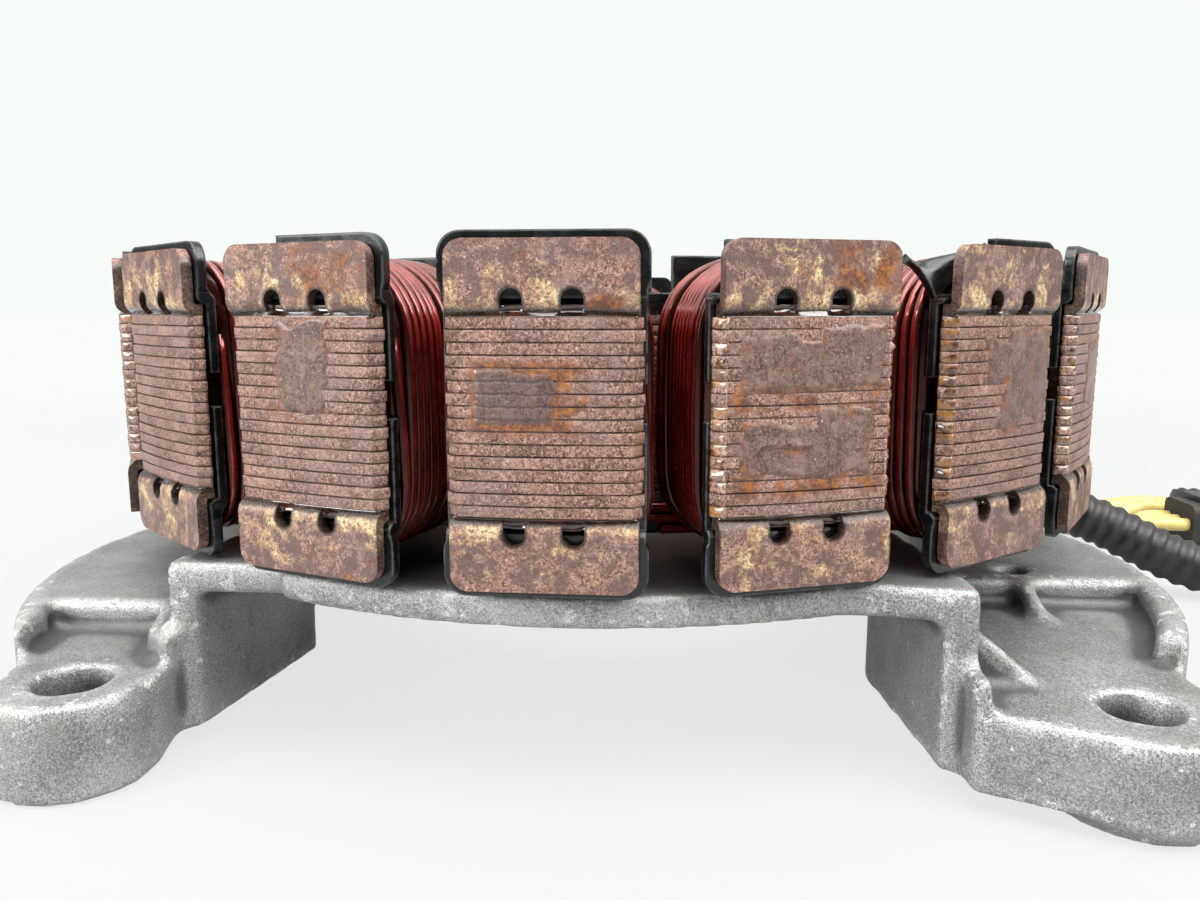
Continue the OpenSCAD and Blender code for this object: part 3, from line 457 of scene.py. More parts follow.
def rusted_tabs():
    """Bent tabs of the end plates: mauve, bare cream spots, orange bloom, dark varnish at the notches."""
    start, place, close = material("rusted_tabs")
    k, t, z = pole_place(start, place)
    grit, fine, colour = rust_ground(place)
    speckle = grit * 0.6 + fine * 0.4
    blotch = place.noise(0.32, 4, 0.62, 0.5)
    up = abs(z - MID_Z)
    dusk = place.noise(0.55, 4, 0.68, 0.3)
    mottled = on_pole(k, 0) * -0.10 + 1.0
    colour = (dusk.step(0.43, 0.56) * 0.85 * mottled).blend(colour, DUSK)
    bare = place.noise(0.36, 6, 0.74, 0.3) + (TAB_MIDDLE - up) * 0.020
    ochre = bare.step(0.49, 0.59) * speckle.step(0.38, 0.54) * mottled
    colour = (ochre * 0.8).blend(colour, OCHRE)
    cream = bare.step(0.56, 0.64) * speckle.step(0.42, 0.56) * mottled
    colour = (cream * 0.85).blend(colour, CREAM)
    ragged = place.noise(0.7, 5, 0.7) - 0.5
    wt, wz = t + ragged * 4.0, z + ragged * 2.6
    bloom = place.noise(0.5, 5, 0.72, 0.3).step(0.57, 0.68) * 0.8
    for pole, box, low, high in TAB_BLOOM:
        bloom = bloom.most(patch(k, wt, wz, pole, box, 0.6) * blotch.step(low, high))
    bloom = bloom.most(patch(k, wt, wz, 0, FRONT_TAB_SPOT, 0.4) * 0.9)
    colour = bloom.blend(colour, rust_bloom(place))
    colour = (blotch.step(0.60, 0.74) * 0.6).blend(colour, LILAC)
    side = abs(abs(t) - NOTCH_T)
    reach = (up - NOTCH_UP).most(0.0)
    ring = start.maths("SQRT", side * side + reach * reach) + ragged * 0.25
    tar = ring.step(0.98, 1.22, 1.0, 0.0).most((up + ragged * 0.6).step(8.40, 8.85, 1.0, 0.0))
    tar = tar.most((abs(t) + ragged * 0.5).step(TAB_HALF, 7.62) * 0.8)
    colour = (tar * 0.88).blend(colour, TAR)
    height = speckle + cream * 0.25
    return close(Base_Color=colour, Roughness=grit.step(0.35, 0.65, 0.36, 0.60) - tar * 0.26, Metallic=0.06,
                 Coat_Weight=tar * z.step(14.0, 16.0) * 0.8 + 0.12, Coat_Roughness=0.14,
                 Normal=height.bump(0.85, 0.12))


def black_moulding(name, tone, gloss):
    """Moulded insulator plastic: near black, dusty, with a painted highlight on its soft edges."""
    start, place, close = material(name)
    dust = place.noise(0.7, 4, 0.65)
    grain = place.noise(4.0, 2, 0.6)
    colour = dust.step(0.48, 0.72).blend(tone, tuple(2.1 * c for c in tone))
    edge = start.node("ShaderNodeBevel", {"samples": 4}, Radius=0.32 * MM)
    flat = start.node("ShaderNodeNewGeometry", out="Normal")
    along = start.node("ShaderNodeVectorMath", {"operation": "DOT_PRODUCT"}, out="Value", i0=edge, i1=flat)
    # painted highlight: pale grey where the rounded edge normal turns from the flat one, thinned by dust
    colour = (along.step(0.86, 0.99, 0.7, 0.0) * dust.step(0.35, 0.55)).blend(colour, EDGE_HIGHLIGHT_GREY)
    return close(Base_Color=colour, Roughness=dust.step(0.3, 0.7, gloss, gloss + 0.16),
                 Normal=grain.bump(0.25, 0.03, edge))


def red_enamel():
    """Enamelled copper wire: deep red lacquer over bright metal, darker in places where varnish has run, with
    painted shade on the sides of each wire where it meets the next.
    """
    start, place, close = material("red_enamel")
    # painted shade between the wires: near black and with less coat on each wire's sides
    painted_wire_shade = start.carried("painted_wire_shade").step(0.28, 0.66)
    run = place.noise(0.25, 3, 0.6)
    streak = place.noise(1.4, 2, 0.5)
    colour = (run * 0.8 + streak * 0.3).step(0.42, 0.70).blend(RED_BRIGHT, RED_DEEP)
    colour = (painted_wire_shade * 0.92).blend(colour, RED_PAINTED_SHADE)
    return close(Base_Color=colour, Metallic=0.55, Roughness=streak.step(0.3, 0.7, 0.16, 0.28),
                 Coat_Weight=1.0 - painted_wire_shade * 0.85, Coat_Roughness=0.04, Normal=streak.bump(0.06, 0.04))


def varnish():
    """Hardened dipping varnish: clear, nearly black where it is deep, very glossy."""
    _, place, close = material("dark_varnish")
    deep = place.noise(0.8, 3, 0.6)
    colour = deep.step(0.4, 0.68).blend(VARNISH_DEEP, VARNISH_THIN)
    return close(Base_Color=colour, Roughness=0.07, Coat_Weight=1.0, Coat_Roughness=0.03,
                 Normal=deep.bump(0.35, 0.25))


def amber_varnish():
    """Varnish over the rusted bevels: amber, brown where it is deep, pale where the rust below is bare."""
    start, place, close = material("amber_varnish")
    k = pole_place(start, place)[0]
    deep = place.noise(0.9, 4, 0.65)
    grit = place.noise(4.0, 3, 0.7)
    colour = deep.step(0.40, 0.60).blend(AMBER_DEEP, AMBER_THIN)
    rusty = on_pole(k, 2).step(0.0, 1.0, 1.0, 0.0) * place.noise(0.7, 3).step(0.36, 0.52)
    colour = (rusty * 0.85).blend(colour, grit.step(0.40, 0.60).blend(BARE_DARK, BARE_PALE))
    return close(Base_Color=colour, Roughness=grit.step(0.35, 0.65, 0.16, 0.34), Coat_Weight=1.0,
                 Coat_Roughness=0.04, Normal=(deep + grit * 0.3).bump(0.5, 0.15))


def cast_aluminium():
    """Grainy die casting: grey metal, bright worn edges, random soot, painted shade in its hollows and
    painted shadow under the core, and white oxide specks.
    """
    start, place, close = material("cast_aluminium")
    edge = start.carried("edge")
    painted_hollow_shade = start.carried("painted_hollow_shade")
    grit = place.noise(5.0, 4, 0.70)
    fine = place.noise(11.0, 2, 0.65)
    cloud = place.noise(0.10, 4, 0.6)
    tone = grit * 0.45 + fine * 0.35 + cloud * 0.25
    colour = tone.step(0.42, 0.64).blend(CAST_DARK, CAST_PALE)
    colour = (fine.step(0.58, 0.70) * grit.step(0.45, 0.6) * 0.7).blend(colour, CAST_SPECK)
    warm = place.noise(0.21, 3, 0.6).step(0.50, 0.68)
    colour = (warm * 0.22).blend(colour, CAST_WARM)
    worn = edge.step(0.22, 0.75) * (grit * 0.5 + fine * 0.5).step(0.40, 0.62)
    colour = (worn * 0.5).blend(colour, CAST_WORN)
    crust = (place.noise(0.75, 3, 0.6) + edge * 0.14).step(0.68, 0.75) * fine.step(0.40, 0.58)
    colour = (crust * 0.85).blend(colour, OXIDE_WHITE)
    x, y, z = start.node("ShaderNodeSeparateXYZ", Vector=place).outputs("X", "Y", "Z")
    reach = start.maths("SQRT", x * x + y * y) + (cloud - 0.5) * 6.0
    # painted shadow: near black on the seat's top surface under the core
    painted_shadow_under_core = reach.step(56.0, 61.0, 1.0, 0.0) * z.step(-1.2, -0.2) * 0.8
    soot_and_painted_shade = place.noise(0.33, 4, 0.7).step(0.58, 0.75) * 0.45
    # random soot, with painted shade in the hollows and painted shadow under the core added to it
    soot_and_painted_shade = soot_and_painted_shade.most(painted_shadow_under_core).most(painted_hollow_shade.step(0.12, 0.7) * 0.75)
    colour = soot_and_painted_shade.blend(colour, SOOT_AND_SHADE)
    height = grit * 0.7 + fine * 0.45 + crust * 0.5
    return close(Base_Color=colour, Metallic=0.55 - crust * 0.5, Roughness=grit.step(0.35, 0.65, 0.34, 0.48),
                 Normal=height.bump(0.7, 0.10))


def zinc_plate():
    """Dull zinc plate with pale clouds and small pits."""
    _, place, close = material("dull_zinc")
    cloud = place.noise(0.5, 4, 0.65)
    pit = place.noise(3.0, 2, 0.6)
    colour = cloud.step(0.4, 0.68).blend(ZINC_DULL, ZINC_PALE)
    return close(Base_Color=colour, Metallic=0.9, Roughness=cloud.step(0.3, 0.7, 0.32, 0.52),
                 Normal=pit.bump(0.2, 0.04))


def coloured_cover(name, low, high, rough):
    """Smooth insulation or rubber whose colour drifts a little along it."""
    _, place, close = material(name)
    drift = place.noise(0.4, 3, 0.6)
    skin = place.noise(5.0, 2, 0.6)
    return close(Base_Color=drift.step(0.38, 0.66).blend(low, high),
                 Roughness=drift.step(0.3, 0.7, rough, rough + 0.14), Normal=skin.bump(0.15, 0.03))


SHEETS = rusted_sheets()
TABS = rusted_tabs()
FILM = worn_film()
MOULDING = black_moulding("black_moulding", (0.004, 0.005, 0.005), 0.15)
HOUSING = black_moulding("black_housing", (0.014, 0.014, 0.015), 0.28)
ENAMEL = red_enamel()
VARNISH = varnish()
AMBER = amber_varnish()
CASTING = cast_aluminium()
ZINC = zinc_plate()
YELLOW = coloured_cover("yellow_insulation", (0.66, 0.50, 0.15), (0.76, 0.62, 0.24), 0.34)
SLEEVE = coloured_cover("ribbed_sleeve", (0.012, 0.012, 0.012), (0.030, 0.029, 0.028), 0.40)
SEAL = coloured_cover("seal_rubber", (0.022, 0.021, 0.020), (0.040, 0.038, 0.036), 0.60)
TINNED = coloured_cover("tinned_brass", (0.50, 0.46, 0.36), (0.62, 0.58, 0.48), 0.30)


# Camera, at the photograph's place

camera = bpy.data.objects.new("camera", bpy.data.cameras.new("camera"))
bpy.context.scene.collection.objects.link(camera)
camera.location = (0.007495, -0.133648, 0.023804)
camera.rotation_euler = (math.radians(81.23), 0, math.radians(3.65))
camera.data.lens = 27.9
camera.data.sensor_width = 36
camera.data.clip_start = 0.005
bpy.context.scene.camera = camera


# Lead: ribbed sleeve, and three yellow leads from its end to the connector

SLEEVE_STEP, SLEEVE_SIDES = 0.42, 24
LEAD_STEP, LEAD_SIDES = 0.8, 14


def make_sleeve():
    """The sleeve's radius is R - swing (1 - cos(2 pi s / pitch)), a rib every pitch along the route."""
    path = smooth_route(SLEEVE_ROUTE, SLEEVE_STEP)
    side, up = route_frame(path)
    along = run_length(path)
    ribs = SLEEVE_D / 2 - RIB_SWING * (1 - np.cos(2 * math.pi * along / RIB_PITCH))
    points, faces = sweep(path, side, up, ribs, SLEEVE_SIDES)
    obj = piece("ribbed_sleeve", points, faces, SLEEVE, ["lead_sleeve"])


def make_lead(k):
    """One lead beside the middle route: route + (k - 2) spread side, bunched where it leaves the sleeve."""
    ends = np.vstack([LEAD_ROUTE[1] - LEAD_ROUTE[0], LEAD_ROUTE[2:] - LEAD_ROUTE[:-2],
                      LEAD_ROUTE[-1] - LEAD_ROUTE[-2]])
    aside = unit(np.cross(unit(ends), [0.0, 0.0, 1.0]))
    spread = np.full((len(LEAD_ROUTE), 1), LEAD_SPREAD)
    spread[:2] = LEAD_BUNCH
    path = smooth_route(LEAD_ROUTE + (k - MIDDLE_LEAD) * spread * aside, LEAD_STEP)
    side, up = route_frame(path)
    points, faces = sweep(path, side, up, LEAD_D / 2, LEAD_SIDES)
    obj = piece(f"lead_{k}", points, faces, YELLOW, [f"yellow_lead_{k}"])


make_sleeve()
for lead in LEAD_CARRIES:
    make_lead(lead)


# Windings; a loop is its half width, half height, corner radius and the bow of its upright sides

COIL_IN, COIL_OUT = 46.6, 59.15
TURNS = 12
WIRE_SIDES = 12
SLOT_GROW = 1.15
WIRE_LOOP = (6.9, 12.55, 6.3, 0.35)
CORE_LOOP = (6.45, 12.1, 5.9, 0.3)
CORE_OUTER_LOOP = (6.45 + 0.95 * SLOT_GROW, 12.1 + 0.28 * SLOT_GROW, 6.0, 0.3)
BOBBIN_LOOP = (4.5, 10.0, 2.0, 0.0)
CORE_INSET = 0.4
LOOSE = {1: 0.55, 17: 0.3, 3: 0.4, 6: 0.45, 9: 0.3, 12: 0.5, 15: 0.4}
LOOSE_TURNS = 3.2
END_STEPS, END_DIVE = 6.0, 0.9
TURN_PITCH = (COIL_OUT - COIL_IN - WIRE_D) / (TURNS - 1)


def winding(k):
    """One coil: a wire on a bowed rounded rectangle, one pitch further out each turn.

    point(s, a) = loop(s) + normal(s) (lift(s) + r cos a) + out (r sin a + pitch s). The lift grows
    outwards as the slot widens, and a plain core fills the inside."""
    rng = np.random.default_rng(400 + k)
    loop, normal = rounded_loop(*WIRE_LOOP)
    count = len(loop)
    s = np.arange((TURNS - 1) * count + 1)
    turn = s / count
    wander = np.interp(turn, np.arange(TURNS + 1), rng.normal(0, 0.07, TURNS + 1))
    uneven = np.interp(turn, np.linspace(0, TURNS, 4 * TURNS), rng.normal(0, 0.08, 4 * TURNS))
    sides = np.abs(normal[s % count, 0])
    lift = uneven.clip(-0.14, 0.09)
    lift = lift + LOOSE.get(k, 0.0) * sides * ramp((LOOSE_TURNS - turn) / 0.6)
    lift = lift + SLOT_GROW * (turn / TURNS) * (0.3 + 0.7 * sides)
    dive = np.minimum(np.minimum(s, s[-1] - s) / END_STEPS, 1.0)
    lift = lift - END_DIVE * (1 - dive)
    n3 = np.column_stack([normal[s % count], np.zeros(len(s))])
    path = np.column_stack([loop[s % count], COIL_IN + WIRE_D / 2 + TURN_PITCH * turn + wander])
    path = path + n3 * lift[:, None]
    out = np.broadcast_to([0.0, 0.0, 1.0], path.shape)
    points, faces = sweep(path, n3, out, WIRE_D / 2, WIRE_SIDES)
    low, high = COIL_IN + CORE_INSET, COIL_OUT - CORE_INSET
    rings = [np.column_stack([rounded_loop(*ring)[0], np.full(count, z)]) for ring, z in
             ((CORE_LOOP, low), (CORE_OUTER_LOOP, high), (BOBBIN_LOOP, high), (BOBBIN_LOOP, low))]
    core = grid_faces(len(rings), count, len(points), close_rows=True)[:, ::-1]
    # painted shade: |sin a| round the wire, 1 on its sides where it meets the next turn
    painted_wire_shade = np.abs(np.sin(np.linspace(0, 2 * math.pi, WIRE_SIDES, endpoint=False)))
    shade = np.concatenate([np.tile(painted_wire_shade, len(path)), np.ones(len(rings) * count)])
    points = from_pole(np.vstack([points, *rings]), k)
    obj = piece(f"winding_{k + 1:02d}", points, faces + core.tolist(), ENAMEL,
                [f"coil_{k + 1:02d}"])
    carry(obj.data, "painted_wire_shade", shade)


for pole in range(POLES):
    winding(pole)


# Varnish in the grooves between the tabs and the stack

GROOVE_BACK = 1.15


def groove_beads(name, sign):
    """A bead along each groove, from the stack's edge to the tab.

    Across t its section is radius(v) = R - 0.06 - sag sin(pi v) - lean v, height(v) = edge + climb v. The
    sag is 0.26 to 0.42 mm, the lean deepens at the notches, and a back 1.15 mm below R closes it."""
    rng = np.random.default_rng(7 + sign)
    t = np.linspace(-TAB_HALF, TAB_HALF, 60)
    v = np.linspace(0, 1, 9)
    points, faces = [], []
    for k in range(POLES):
        wave = np.interp(t, np.linspace(-7.5, 7.5, 16), rng.uniform(0.0, 1.0, 16))
        notch = ramp((NOTCH_HALF - np.abs(np.abs(t) - NOTCH_T)) / 0.35)
        sag = 0.26 + 0.16 * wave
        lean = 0.10 + 0.45 * notch
        climb = (0.95 + 0.25 * (1 - wave)) * (1 - 0.10 * notch)
        front = CORE_R - 0.06 - sag[:, None] * np.sin(math.pi * v)[None] - lean[:, None] * v[None]
        rise = HALF_STACK + (-0.05 + climb[:, None] * v[None])
        deep = np.full((len(t), 2), CORE_R - GROOVE_BACK)
        radius = np.hstack([front, deep])
        height = np.hstack([rise, rise[:, -1:] - 0.55, rise[:, :1]])
        flat = np.sqrt(radius ** 2 - t[:, None] ** 2)
        ring = np.stack([np.repeat(t[:, None], radius.shape[1], 1), sign * height, flat], -1)
        rows, cols = ring.shape[:2]
        faces += ribbon_faces(rows, cols, len(points) * rows * cols, sign > 0)
        points.append(from_pole(ring.reshape(-1, 3), k))
    piece(name, np.vstack(points), faces, VARNISH)


groove_beads("upper_groove_varnish", 1)
groove_beads("lower_groove_varnish", -1)


# Varnish that has run down the bevels of a few poles

BEADED = {1: (-1, 1), 2: (-1,), 3: (-1, 1), 7: (1,), 10: (-1, 1), 13: (-1,), 15: (1,)}
BEVEL_SIDE, BEVEL_FACE = np.array([7.95, 60.42]), np.array([7.12, 61.60])
BEVEL_OUT = np.array([0.785, 0.620])
BEAD_ROOT = 0.5


def edge_beads():
    """A half-round bead over each sheet's bevel.

    bead(u, v) = bevel(u) + out size (0.3 + 0.7 sin(pi u^p)) sin(pi v^q): u runs along the bevel from the
    side to the face, v up the sheet, and size, p and q differ from bead to bead. Each bead is closed
    0.5 mm inside the sheet."""
    rng = np.random.default_rng(90)
    u, v = np.linspace(0, 1, 9), np.linspace(0.03, 0.97, 9)
    bevel = BEVEL_SIDE + u[:, None] * (BEVEL_FACE - BEVEL_SIDE)
    points, faces = [], []
    for pole, sides in BEADED.items():
        for side in sides:
            for sheet in range(SHEET_COUNT):
                along = 0.3 + 0.7 * np.sin(math.pi * u ** rng.uniform(0.45, 2.2))
                hump = along[:, None] * np.sin(math.pi * v ** rng.uniform(0.7, 1.4))[None]
                size = 0.08 + 0.30 * rng.random() ** 1.6
                swell = np.hstack([size * hump, np.full((len(u), 2), -BEAD_ROOT)])
                place = bevel[:, None] + swell[..., None] * BEVEL_OUT
                up = STACK_LOW - MID_Z + sheet + np.append(v, [v[-1], v[0]])
                ring = np.stack([side * place[..., 0], np.broadcast_to(up, swell.shape), place[..., 1]], -1)
                faces += ribbon_faces(*swell.shape, len(points) * swell.size, side < 0)
                points.append(from_pole(ring.reshape(-1, 3), pole))
    piece("edge_varnish", np.vstack(points), faces, AMBER)


edge_beads()


# Rubbed places on the pole faces, where hardened varnish bridges the sheets

NOISE_CELLS = 64

# Pole, across from and to, up from and to, in millimetres, and how ragged the outline is
FILM_BOXES = (
    (0, -5.3, 0.9, 14.7, 18.7, 0.25), (1, -6.0, 1.2, 17.2, 21.5, 0.35), (1, 0.8, 6.3, 17.4, 22.1, 0.35),
    (1, -5.8, 1.2, 10.3, 14.7, 0.40), (1, 0.2, 5.6, 10.1, 15.6, 0.45), (2, -0.6, 6.6, 13.4, 22.2, 0.75),
    (2, -3.0, 2.4, 17.4, 20.6, 0.5), (-1, -1.8, 3.0, 15.0, 22.3, 0.55), (3, -2.5, 4.0, 13.5, 20.0, 0.6),
    (5, -4.0, 3.5, 11.0, 19.0, 0.7), (8, -5.0, 2.0, 14.0, 20.5, 0.6), (-5, -3.0, 4.6, 10.5, 17.5, 0.6),
    (-8, -4.6, 3.0, 12.0, 20.0, 0.7))
FLAKED = 3
FILM_CELL = 0.13
FILM_HALF = 6.9
FILM_MARGIN = 1
FILM_EDGE = 0.15
FILM_SUNK, FILM_RISE = 0.14, 0.21
FILM_BACK = 0.30


def wrinkle(rng, u, v, size):
    """Smooth noise on a grid of points: three octaves of random values, each blended with smooth steps."""
    total = np.zeros(np.broadcast(u, v).shape)
    for octave in range(3):
        cell = size / 2 ** octave
        table = rng.uniform(-1, 1, (NOISE_CELLS, NOISE_CELLS))
        x, y = (u - u.min()) / cell, (v - v.min()) / cell
        i, j = x.astype(int), y.astype(int)
        fx, fy = ease(x - i), ease(y - j)
        i, j, i_next, j_next = (n % NOISE_CELLS for n in (i, j, i + 1, j + 1))
        low = table[i, j] * (1 - fx) + table[i_next, j] * fx
        high = table[i, j_next] * (1 - fx) + table[i_next, j_next] * fx
        total += (low * (1 - fy) + high * fy) / 1.7 ** octave
    return total


def flake(rng, t, z):
    """How far the flaked film lifts above its tear and sinks below it, and the rim value of its pocket.

    Both fade as exp(-distance / length) from the tear, whose height falls off towards the left end."""
    tear = 12.75 - 1.15 * ramp((-3.8 - t) / 1.3) ** 2 + 0.06 * wrinkle(rng, t, z, 0.8)
    ends = ramp((t + 5.2) / 0.5) * ramp((0.3 - t) / 0.5)
    above = ramp((z - tear) / 0.12 + 0.5)
    lifted = 0.26 * above * np.exp(-np.clip(z - tear, 0, None) / 0.45)
    sunk = 0.10 * (1 - above) * np.exp(-np.clip(tear - z, 0, None) / 0.8)
    pocket = ramp(1.3 - np.hypot((t + 0.9) / 0.9, (z - tear + 0.3) / 0.35))
    return ends * (lifted - sunk), pocket


def plate_faces(rows, cols):
    """Faces of a plate of two grids of rows x cols points: the top, the underside and the wall round them."""
    r, c = np.arange(rows - 1)[:, None] * cols, np.arange(cols - 1)[None, :]
    top = np.stack([r + c, r + cols + c, r + cols + c + 1, r + c + 1], -1).reshape(-1, 4)
    under = top[:, ::-1] + rows * cols
    rim = np.concatenate([np.arange(rows) * cols, (rows - 1) * cols + np.arange(1, cols),
                          np.arange(rows - 2, -1, -1) * cols + cols - 1, np.arange(cols - 2, 0, -1)])
    after = np.roll(rim, -1)
    wall = np.stack([rim, rim + rows * cols, after + rows * cols, after], -1)
    return np.vstack([top, under, wall])


def films():
    """Thin skins on pole faces: radius = R - 0.14 + 0.21 rise.

    The rise is a smooth step of the distance inside a box, made ragged by noise. The rim runs below the
    face, so the face itself cuts the outline; a skin stands 0.07 mm proud. Its rim value is 1 on the
    outline and falls to 0 half a millimetre inside it."""
    points, faces, rims, start = [], [], [], 0
    for n, (pole, t0, t1, z0, z1, rough) in enumerate(FILM_BOXES):
        rng = np.random.default_rng(50 + n)
        rows = int((t1 - t0 + 2 * FILM_MARGIN) / FILM_CELL)
        cols = int((z1 - z0 + 2 * FILM_MARGIN) / FILM_CELL)
        across = np.linspace(t0 - FILM_MARGIN, t1 + FILM_MARGIN, rows)
        upright = np.linspace(z0 - FILM_MARGIN, z1 + FILM_MARGIN, cols)
        t, z = np.meshgrid(across, upright, indexing="ij")
        t, z = t.clip(-FILM_HALF, FILM_HALF), z.clip(STACK_LOW + FILM_EDGE, STACK_HIGH - FILM_EDGE)
        inside = np.minimum(np.minimum(t - t0, t1 - t), np.minimum(z - z0, z1 - z))
        inside = inside + rough * wrinkle(rng, t, z, 2.4)
        rise = ease(ramp(inside / 0.7 + 0.5))
        skin = CORE_R - FILM_SUNK + FILM_RISE * rise + 0.025 * wrinkle(rng, t, z, 1.4)
        rim_value = ramp(1 - inside / 0.5)
        if n == FLAKED:
            lifted, pocket = flake(rng, t, z)
            skin += lifted
            rim_value = np.maximum(rim_value, pocket)
        rims += [rim_value.ravel(), np.zeros(rows * cols)]
        angle = t / CORE_R
        for radius in (skin, np.full_like(skin, CORE_R - FILM_BACK)):
            layer = np.stack([radius * np.sin(angle), z - MID_Z, radius * np.cos(angle)], -1)
            points.append(from_pole(layer, pole).reshape(-1, 3))
        faces += (plate_faces(rows, cols) + start).tolist()
        start += 2 * rows * cols
    obj = piece("worn_films", np.vstack(points), faces, FILM)
    carry(obj.data, "rim", np.concatenate(rims))


films()


# Corner of one flange, cracked and bent back over the wires

BENT_POLE = 2
CORNER_THICK = 0.9


def bent_corner():
    """A cracked corner, 0.9 mm thick.

    point(u, v) = crease(u) + v (tip - crease(u)) (1 - u)^0.6 + across 0.5 sin(pi v), and it waves up and
    down by 0.12 v sin(9 u + 2)."""
    crease = np.array([[-8.3, 9.5, 60.0], [-1.7, 14.3, 60.2]])
    tip = np.array([-9.3, 13.2, 57.4])
    u, v = np.meshgrid(np.linspace(0, 0.97, 24), np.linspace(0, 1, 12), indexing="ij")
    base = crease[0] + u[..., None] * (crease[1] - crease[0])
    lean = (tip - base) * (1 - u[..., None]) ** 0.6
    across = unit(np.cross(crease[1] - crease[0], tip - crease[0]))
    face = base + v[..., None] * lean + across * (0.5 * np.sin(math.pi * v))[..., None]
    face[..., 1] += 0.12 * np.sin(9 * u + 2) * v
    ring = np.concatenate([face, (face - CORNER_THICK * across)[:, ::-1]], 1)
    faces = ribbon_faces(*ring.shape[:2], 0, False)
    piece("bent_flange_corner", from_pole(ring.reshape(-1, 3), BENT_POLE), faces, MOULDING,
          smooth=False)


bent_corner()


# Casting: the base's own solid with every edge softened as a die casting's is

CASTING_CELL = 0.62
SOFTEN_TIMES = 3
WIDE_TIMES = 10
FULL_EDGE = 0.35


def remeshed_base():
    """The base's mesh, remeshed to even cells."""
    scratch = bpy.data.objects.new("casting_scratch", nodes["stator_base"].data.copy())
    bpy.context.scene.collection.objects.link(scratch)
    weld = scratch.modifiers.new("weld", "WELD")
    weld.merge_threshold = 1e-6
    cells = scratch.modifiers.new("cells", "REMESH")
    cells.mode = "VOXEL"
    cells.voxel_size = CASTING_CELL * MM
    graph = bpy.context.evaluated_depsgraph_get()
    mesh = bpy.data.meshes.new_from_object(scratch.evaluated_get(graph))
    bpy.data.objects.remove(scratch)
    return mesh


def soft_casting():
    """The remeshed base, relaxed: each point moves half way to its neighbours' mean, 3 times.

    Its edge value is how far a point stands out from the mean of a wide neighbourhood, along its normal,
    and its hollow value how far it lies inside that mean, where the material paints shade."""
    mesh = remeshed_base()
    count = len(mesh.vertices)
    points = np.empty(count * 3)
    mesh.vertices.foreach_get("co", points)
    points = points.reshape(-1, 3)
    edges = np.empty(len(mesh.edges) * 2, int)
    mesh.edges.foreach_get("vertices", edges)
    a, b = edges.reshape(-1, 2).T
    degree = np.bincount(np.concatenate([a, b]), minlength=count)[:, None]

    def mean(values):
        total = np.zeros_like(values)
        for column in range(values.shape[1]):
            total[:, column] = (np.bincount(a, values[b, column], count)
                                + np.bincount(b, values[a, column], count))
        return total / degree

    for _ in range(SOFTEN_TIMES):
        points = 0.5 * points + 0.5 * mean(points)
    mesh.vertices.foreach_set("co", points.ravel())
    mesh.update()
    normals = np.empty(count * 3)
    mesh.vertices.foreach_get("normal", normals)
    wide = points
    for _ in range(WIDE_TIMES):
        wide = mean(wide)
    proud = ((points - wide) * normals.reshape(-1, 3)).sum(1) / (FULL_EDGE * MM)
    carry(mesh, "edge", ramp(proud))
    # painted shade: how far a point lies inside its neighbourhood, for the material to darken
    carry(mesh, "painted_hollow_shade", ramp(-proud))
    mesh.polygons.foreach_set("use_smooth", np.ones(len(mesh.polygons), bool))
    mesh.materials.clear()
    mesh.materials.append(CASTING)
    obj = bpy.data.objects.new("base_casting", mesh)
    bpy.context.scene.collection.objects.link(obj)
    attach(obj, "root")
    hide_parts("stator_base")


soft_casting()


# Finishes of the pieces that keep their own solid

def dress(made, *names):
    """Gives the named solids one material."""
    for name in names:
        mesh = nodes[name].data
        mesh.materials.clear()
        mesh.materials.append(made)


dress(SHEETS, *[f"lamination_{i:02d}" for i in range(1, SHEET_COUNT + 1)])
dress(TABS, "upper_end_plate", "lower_end_plate")
dress(MOULDING, "upper_insulator", "lower_insulator")
dress(ENAMEL, "jumper_wires")
dress(ZINC, "core_bolts", "core_washers", "lead_clip", "clip_screw")
dress(YELLOW, "phase_tails")
dress(HOUSING, "lead_connector")
dress(SEAL, "connector_seal")
dress(TINNED, "connector_terminals")


# Floor, world and lamps

RAYS = ("Is Camera Ray", "Is Glossy Ray", "Is Transmission Ray")
FLOOR_GLOW = (0.985, 1.0, 0.99)
FLOOR_BOUNCE, FLOOR_SEEN = (0.30, 0.305, 0.31), (0.055, 0.056, 0.057)
BACKDROP = (0.98, 1.0, 0.985)
SKY = (0.935, 0.968, 0.943)
FLOOR_RINGS = (0.02, 0.3, 1.0, 6.0)
FLOOR_SIDES = 96
FLOOR_DROP = 0.0001


def floor_finish():
    """Pale and even to the camera, dimmer to bounced light; far out it becomes the white backdrop."""
    made = bpy.data.materials.new("pale_floor")
    start = empty_tree(made)
    place = start.node("ShaderNodeTexCoord", out="Object")
    reach = start.node("ShaderNodeVectorMath", {"operation": "LENGTH"}, out="Value", Vector=place)
    camera_ray, glossy, through = start.node("ShaderNodeLightPath").outputs(*RAYS)
    behind = start.node("ShaderNodeSeparateXYZ", Vector=place).outputs("Y")[0].step(-0.20, 0.10)
    far = reach.step(0.16, 0.42) * camera_ray.most(glossy * behind).most(through)
    bounce = start.node("ShaderNodeBsdfPrincipled", Base_Color=FLOOR_BOUNCE, Roughness=0.9,
                        Emission_Color=FLOOR_GLOW, Emission_Strength=0.22)
    matt = start.node("ShaderNodeBsdfPrincipled", Base_Color=FLOOR_SEEN, Roughness=0.9,
                      Emission_Color=FLOOR_GLOW, Emission_Strength=0.755)
    white = start.node("ShaderNodeEmission", Color=BACKDROP, Strength=0.97)
    near = start.node("ShaderNodeMixShader", i0=camera_ray, i1=bounce, i2=matt)
    end_tree(start.node("ShaderNodeMixShader", i0=far, i1=near, i2=white))
    return made


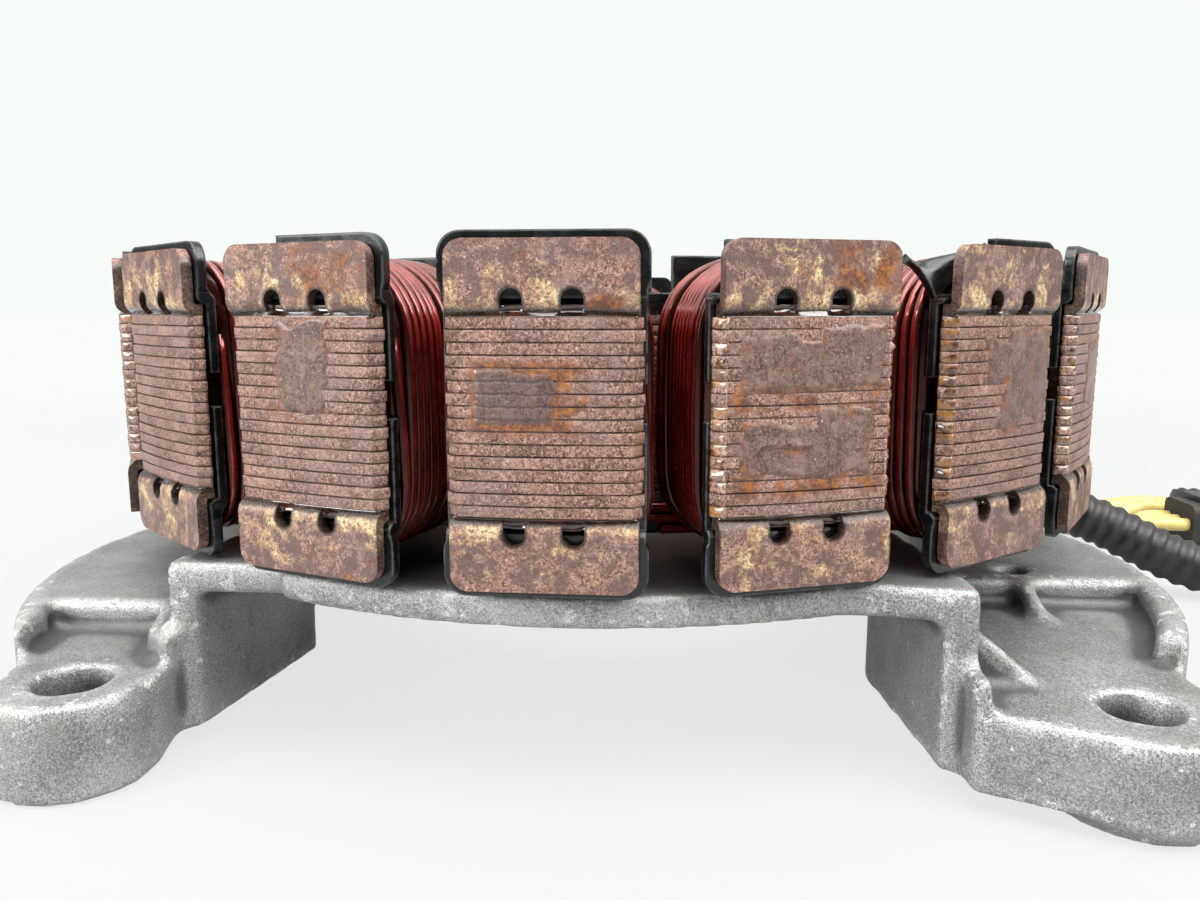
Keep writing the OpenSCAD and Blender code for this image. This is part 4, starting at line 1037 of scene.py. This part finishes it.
def pale_floor():
    """A flat disc just below the feet: point(r, a) = (r cos a, r sin a, floor), on growing rings."""
    a = np.linspace(0, 2 * math.pi, FLOOR_SIDES, endpoint=False)
    r = np.array(FLOOR_RINGS)[:, None]
    level = np.full((len(r), FLOOR_SIDES), FLOOR_Z * MM - FLOOR_DROP)
    rings = np.stack([r * np.cos(a), r * np.sin(a), level], -1)
    mesh = bpy.data.meshes.new("floor")
    mesh.from_pydata(rings.reshape(-1, 3).tolist(), [],
                     grid_faces(len(r), FLOOR_SIDES)[:, ::-1].tolist() + [list(range(FLOOR_SIDES))])
    mesh.materials.append(floor_finish())
    obj = bpy.data.objects.new("floor", mesh)
    bpy.context.scene.collection.objects.link(obj)


def bright_world():
    """White to the camera; to mirrors white above and behind, dimmer in front; soft grey light otherwise."""
    world = bpy.data.worlds.new("bright_world")
    bpy.context.scene.world = world
    start = empty_tree(world)
    way = start.node("ShaderNodeTexCoord", out="Generated")
    y, z = start.node("ShaderNodeSeparateXYZ", Vector=way).outputs("Y", "Z")
    camera_ray, glossy, through = start.node("ShaderNodeLightPath").outputs(*RAYS)
    open_sky = (z + y * 0.25).step(0.0, 0.6, 0.10, 1.0)
    strength = camera_ray.most(through).most(glossy * open_sky).most((1.0 - glossy) * 0.30)
    light = start.node("ShaderNodeBackground", Color=SKY, Strength=strength)
    end_tree(light, "ShaderNodeOutputWorld")


def lamp(name, place, aim, size, power):
    """A rectangular lamp at a place, turned towards its aim."""
    data = bpy.data.lights.new(name, "AREA")
    data.shape = "RECTANGLE"
    data.size, data.size_y = size
    data.energy = power
    obj = bpy.data.objects.new(name, data)
    bpy.context.scene.collection.objects.link(obj)
    obj.location = place
    heading = np.subtract(aim, place)
    flat = math.hypot(heading[0], heading[1])
    obj.rotation_euler = (math.atan2(flat, -heading[2]), 0, math.atan2(heading[1], heading[0]) - math.pi / 2)


pale_floor()
bright_world()
lamp("top_softbox", (-0.02, -0.10, 0.44), (0, 0, 0), (0.60, 0.40), 4.0)
lamp("left_softbox", (-0.48, -0.34, 0.24), (0, -0.03, 0.0), (0.34, 0.26), 4.1)
lamp("right_softbox", (0.38, -0.20, 0.34), (0.03, -0.02, 0.0), (0.36, 0.34), 3.1)
bpy.context.scene.view_settings.view_transform = "Standard"
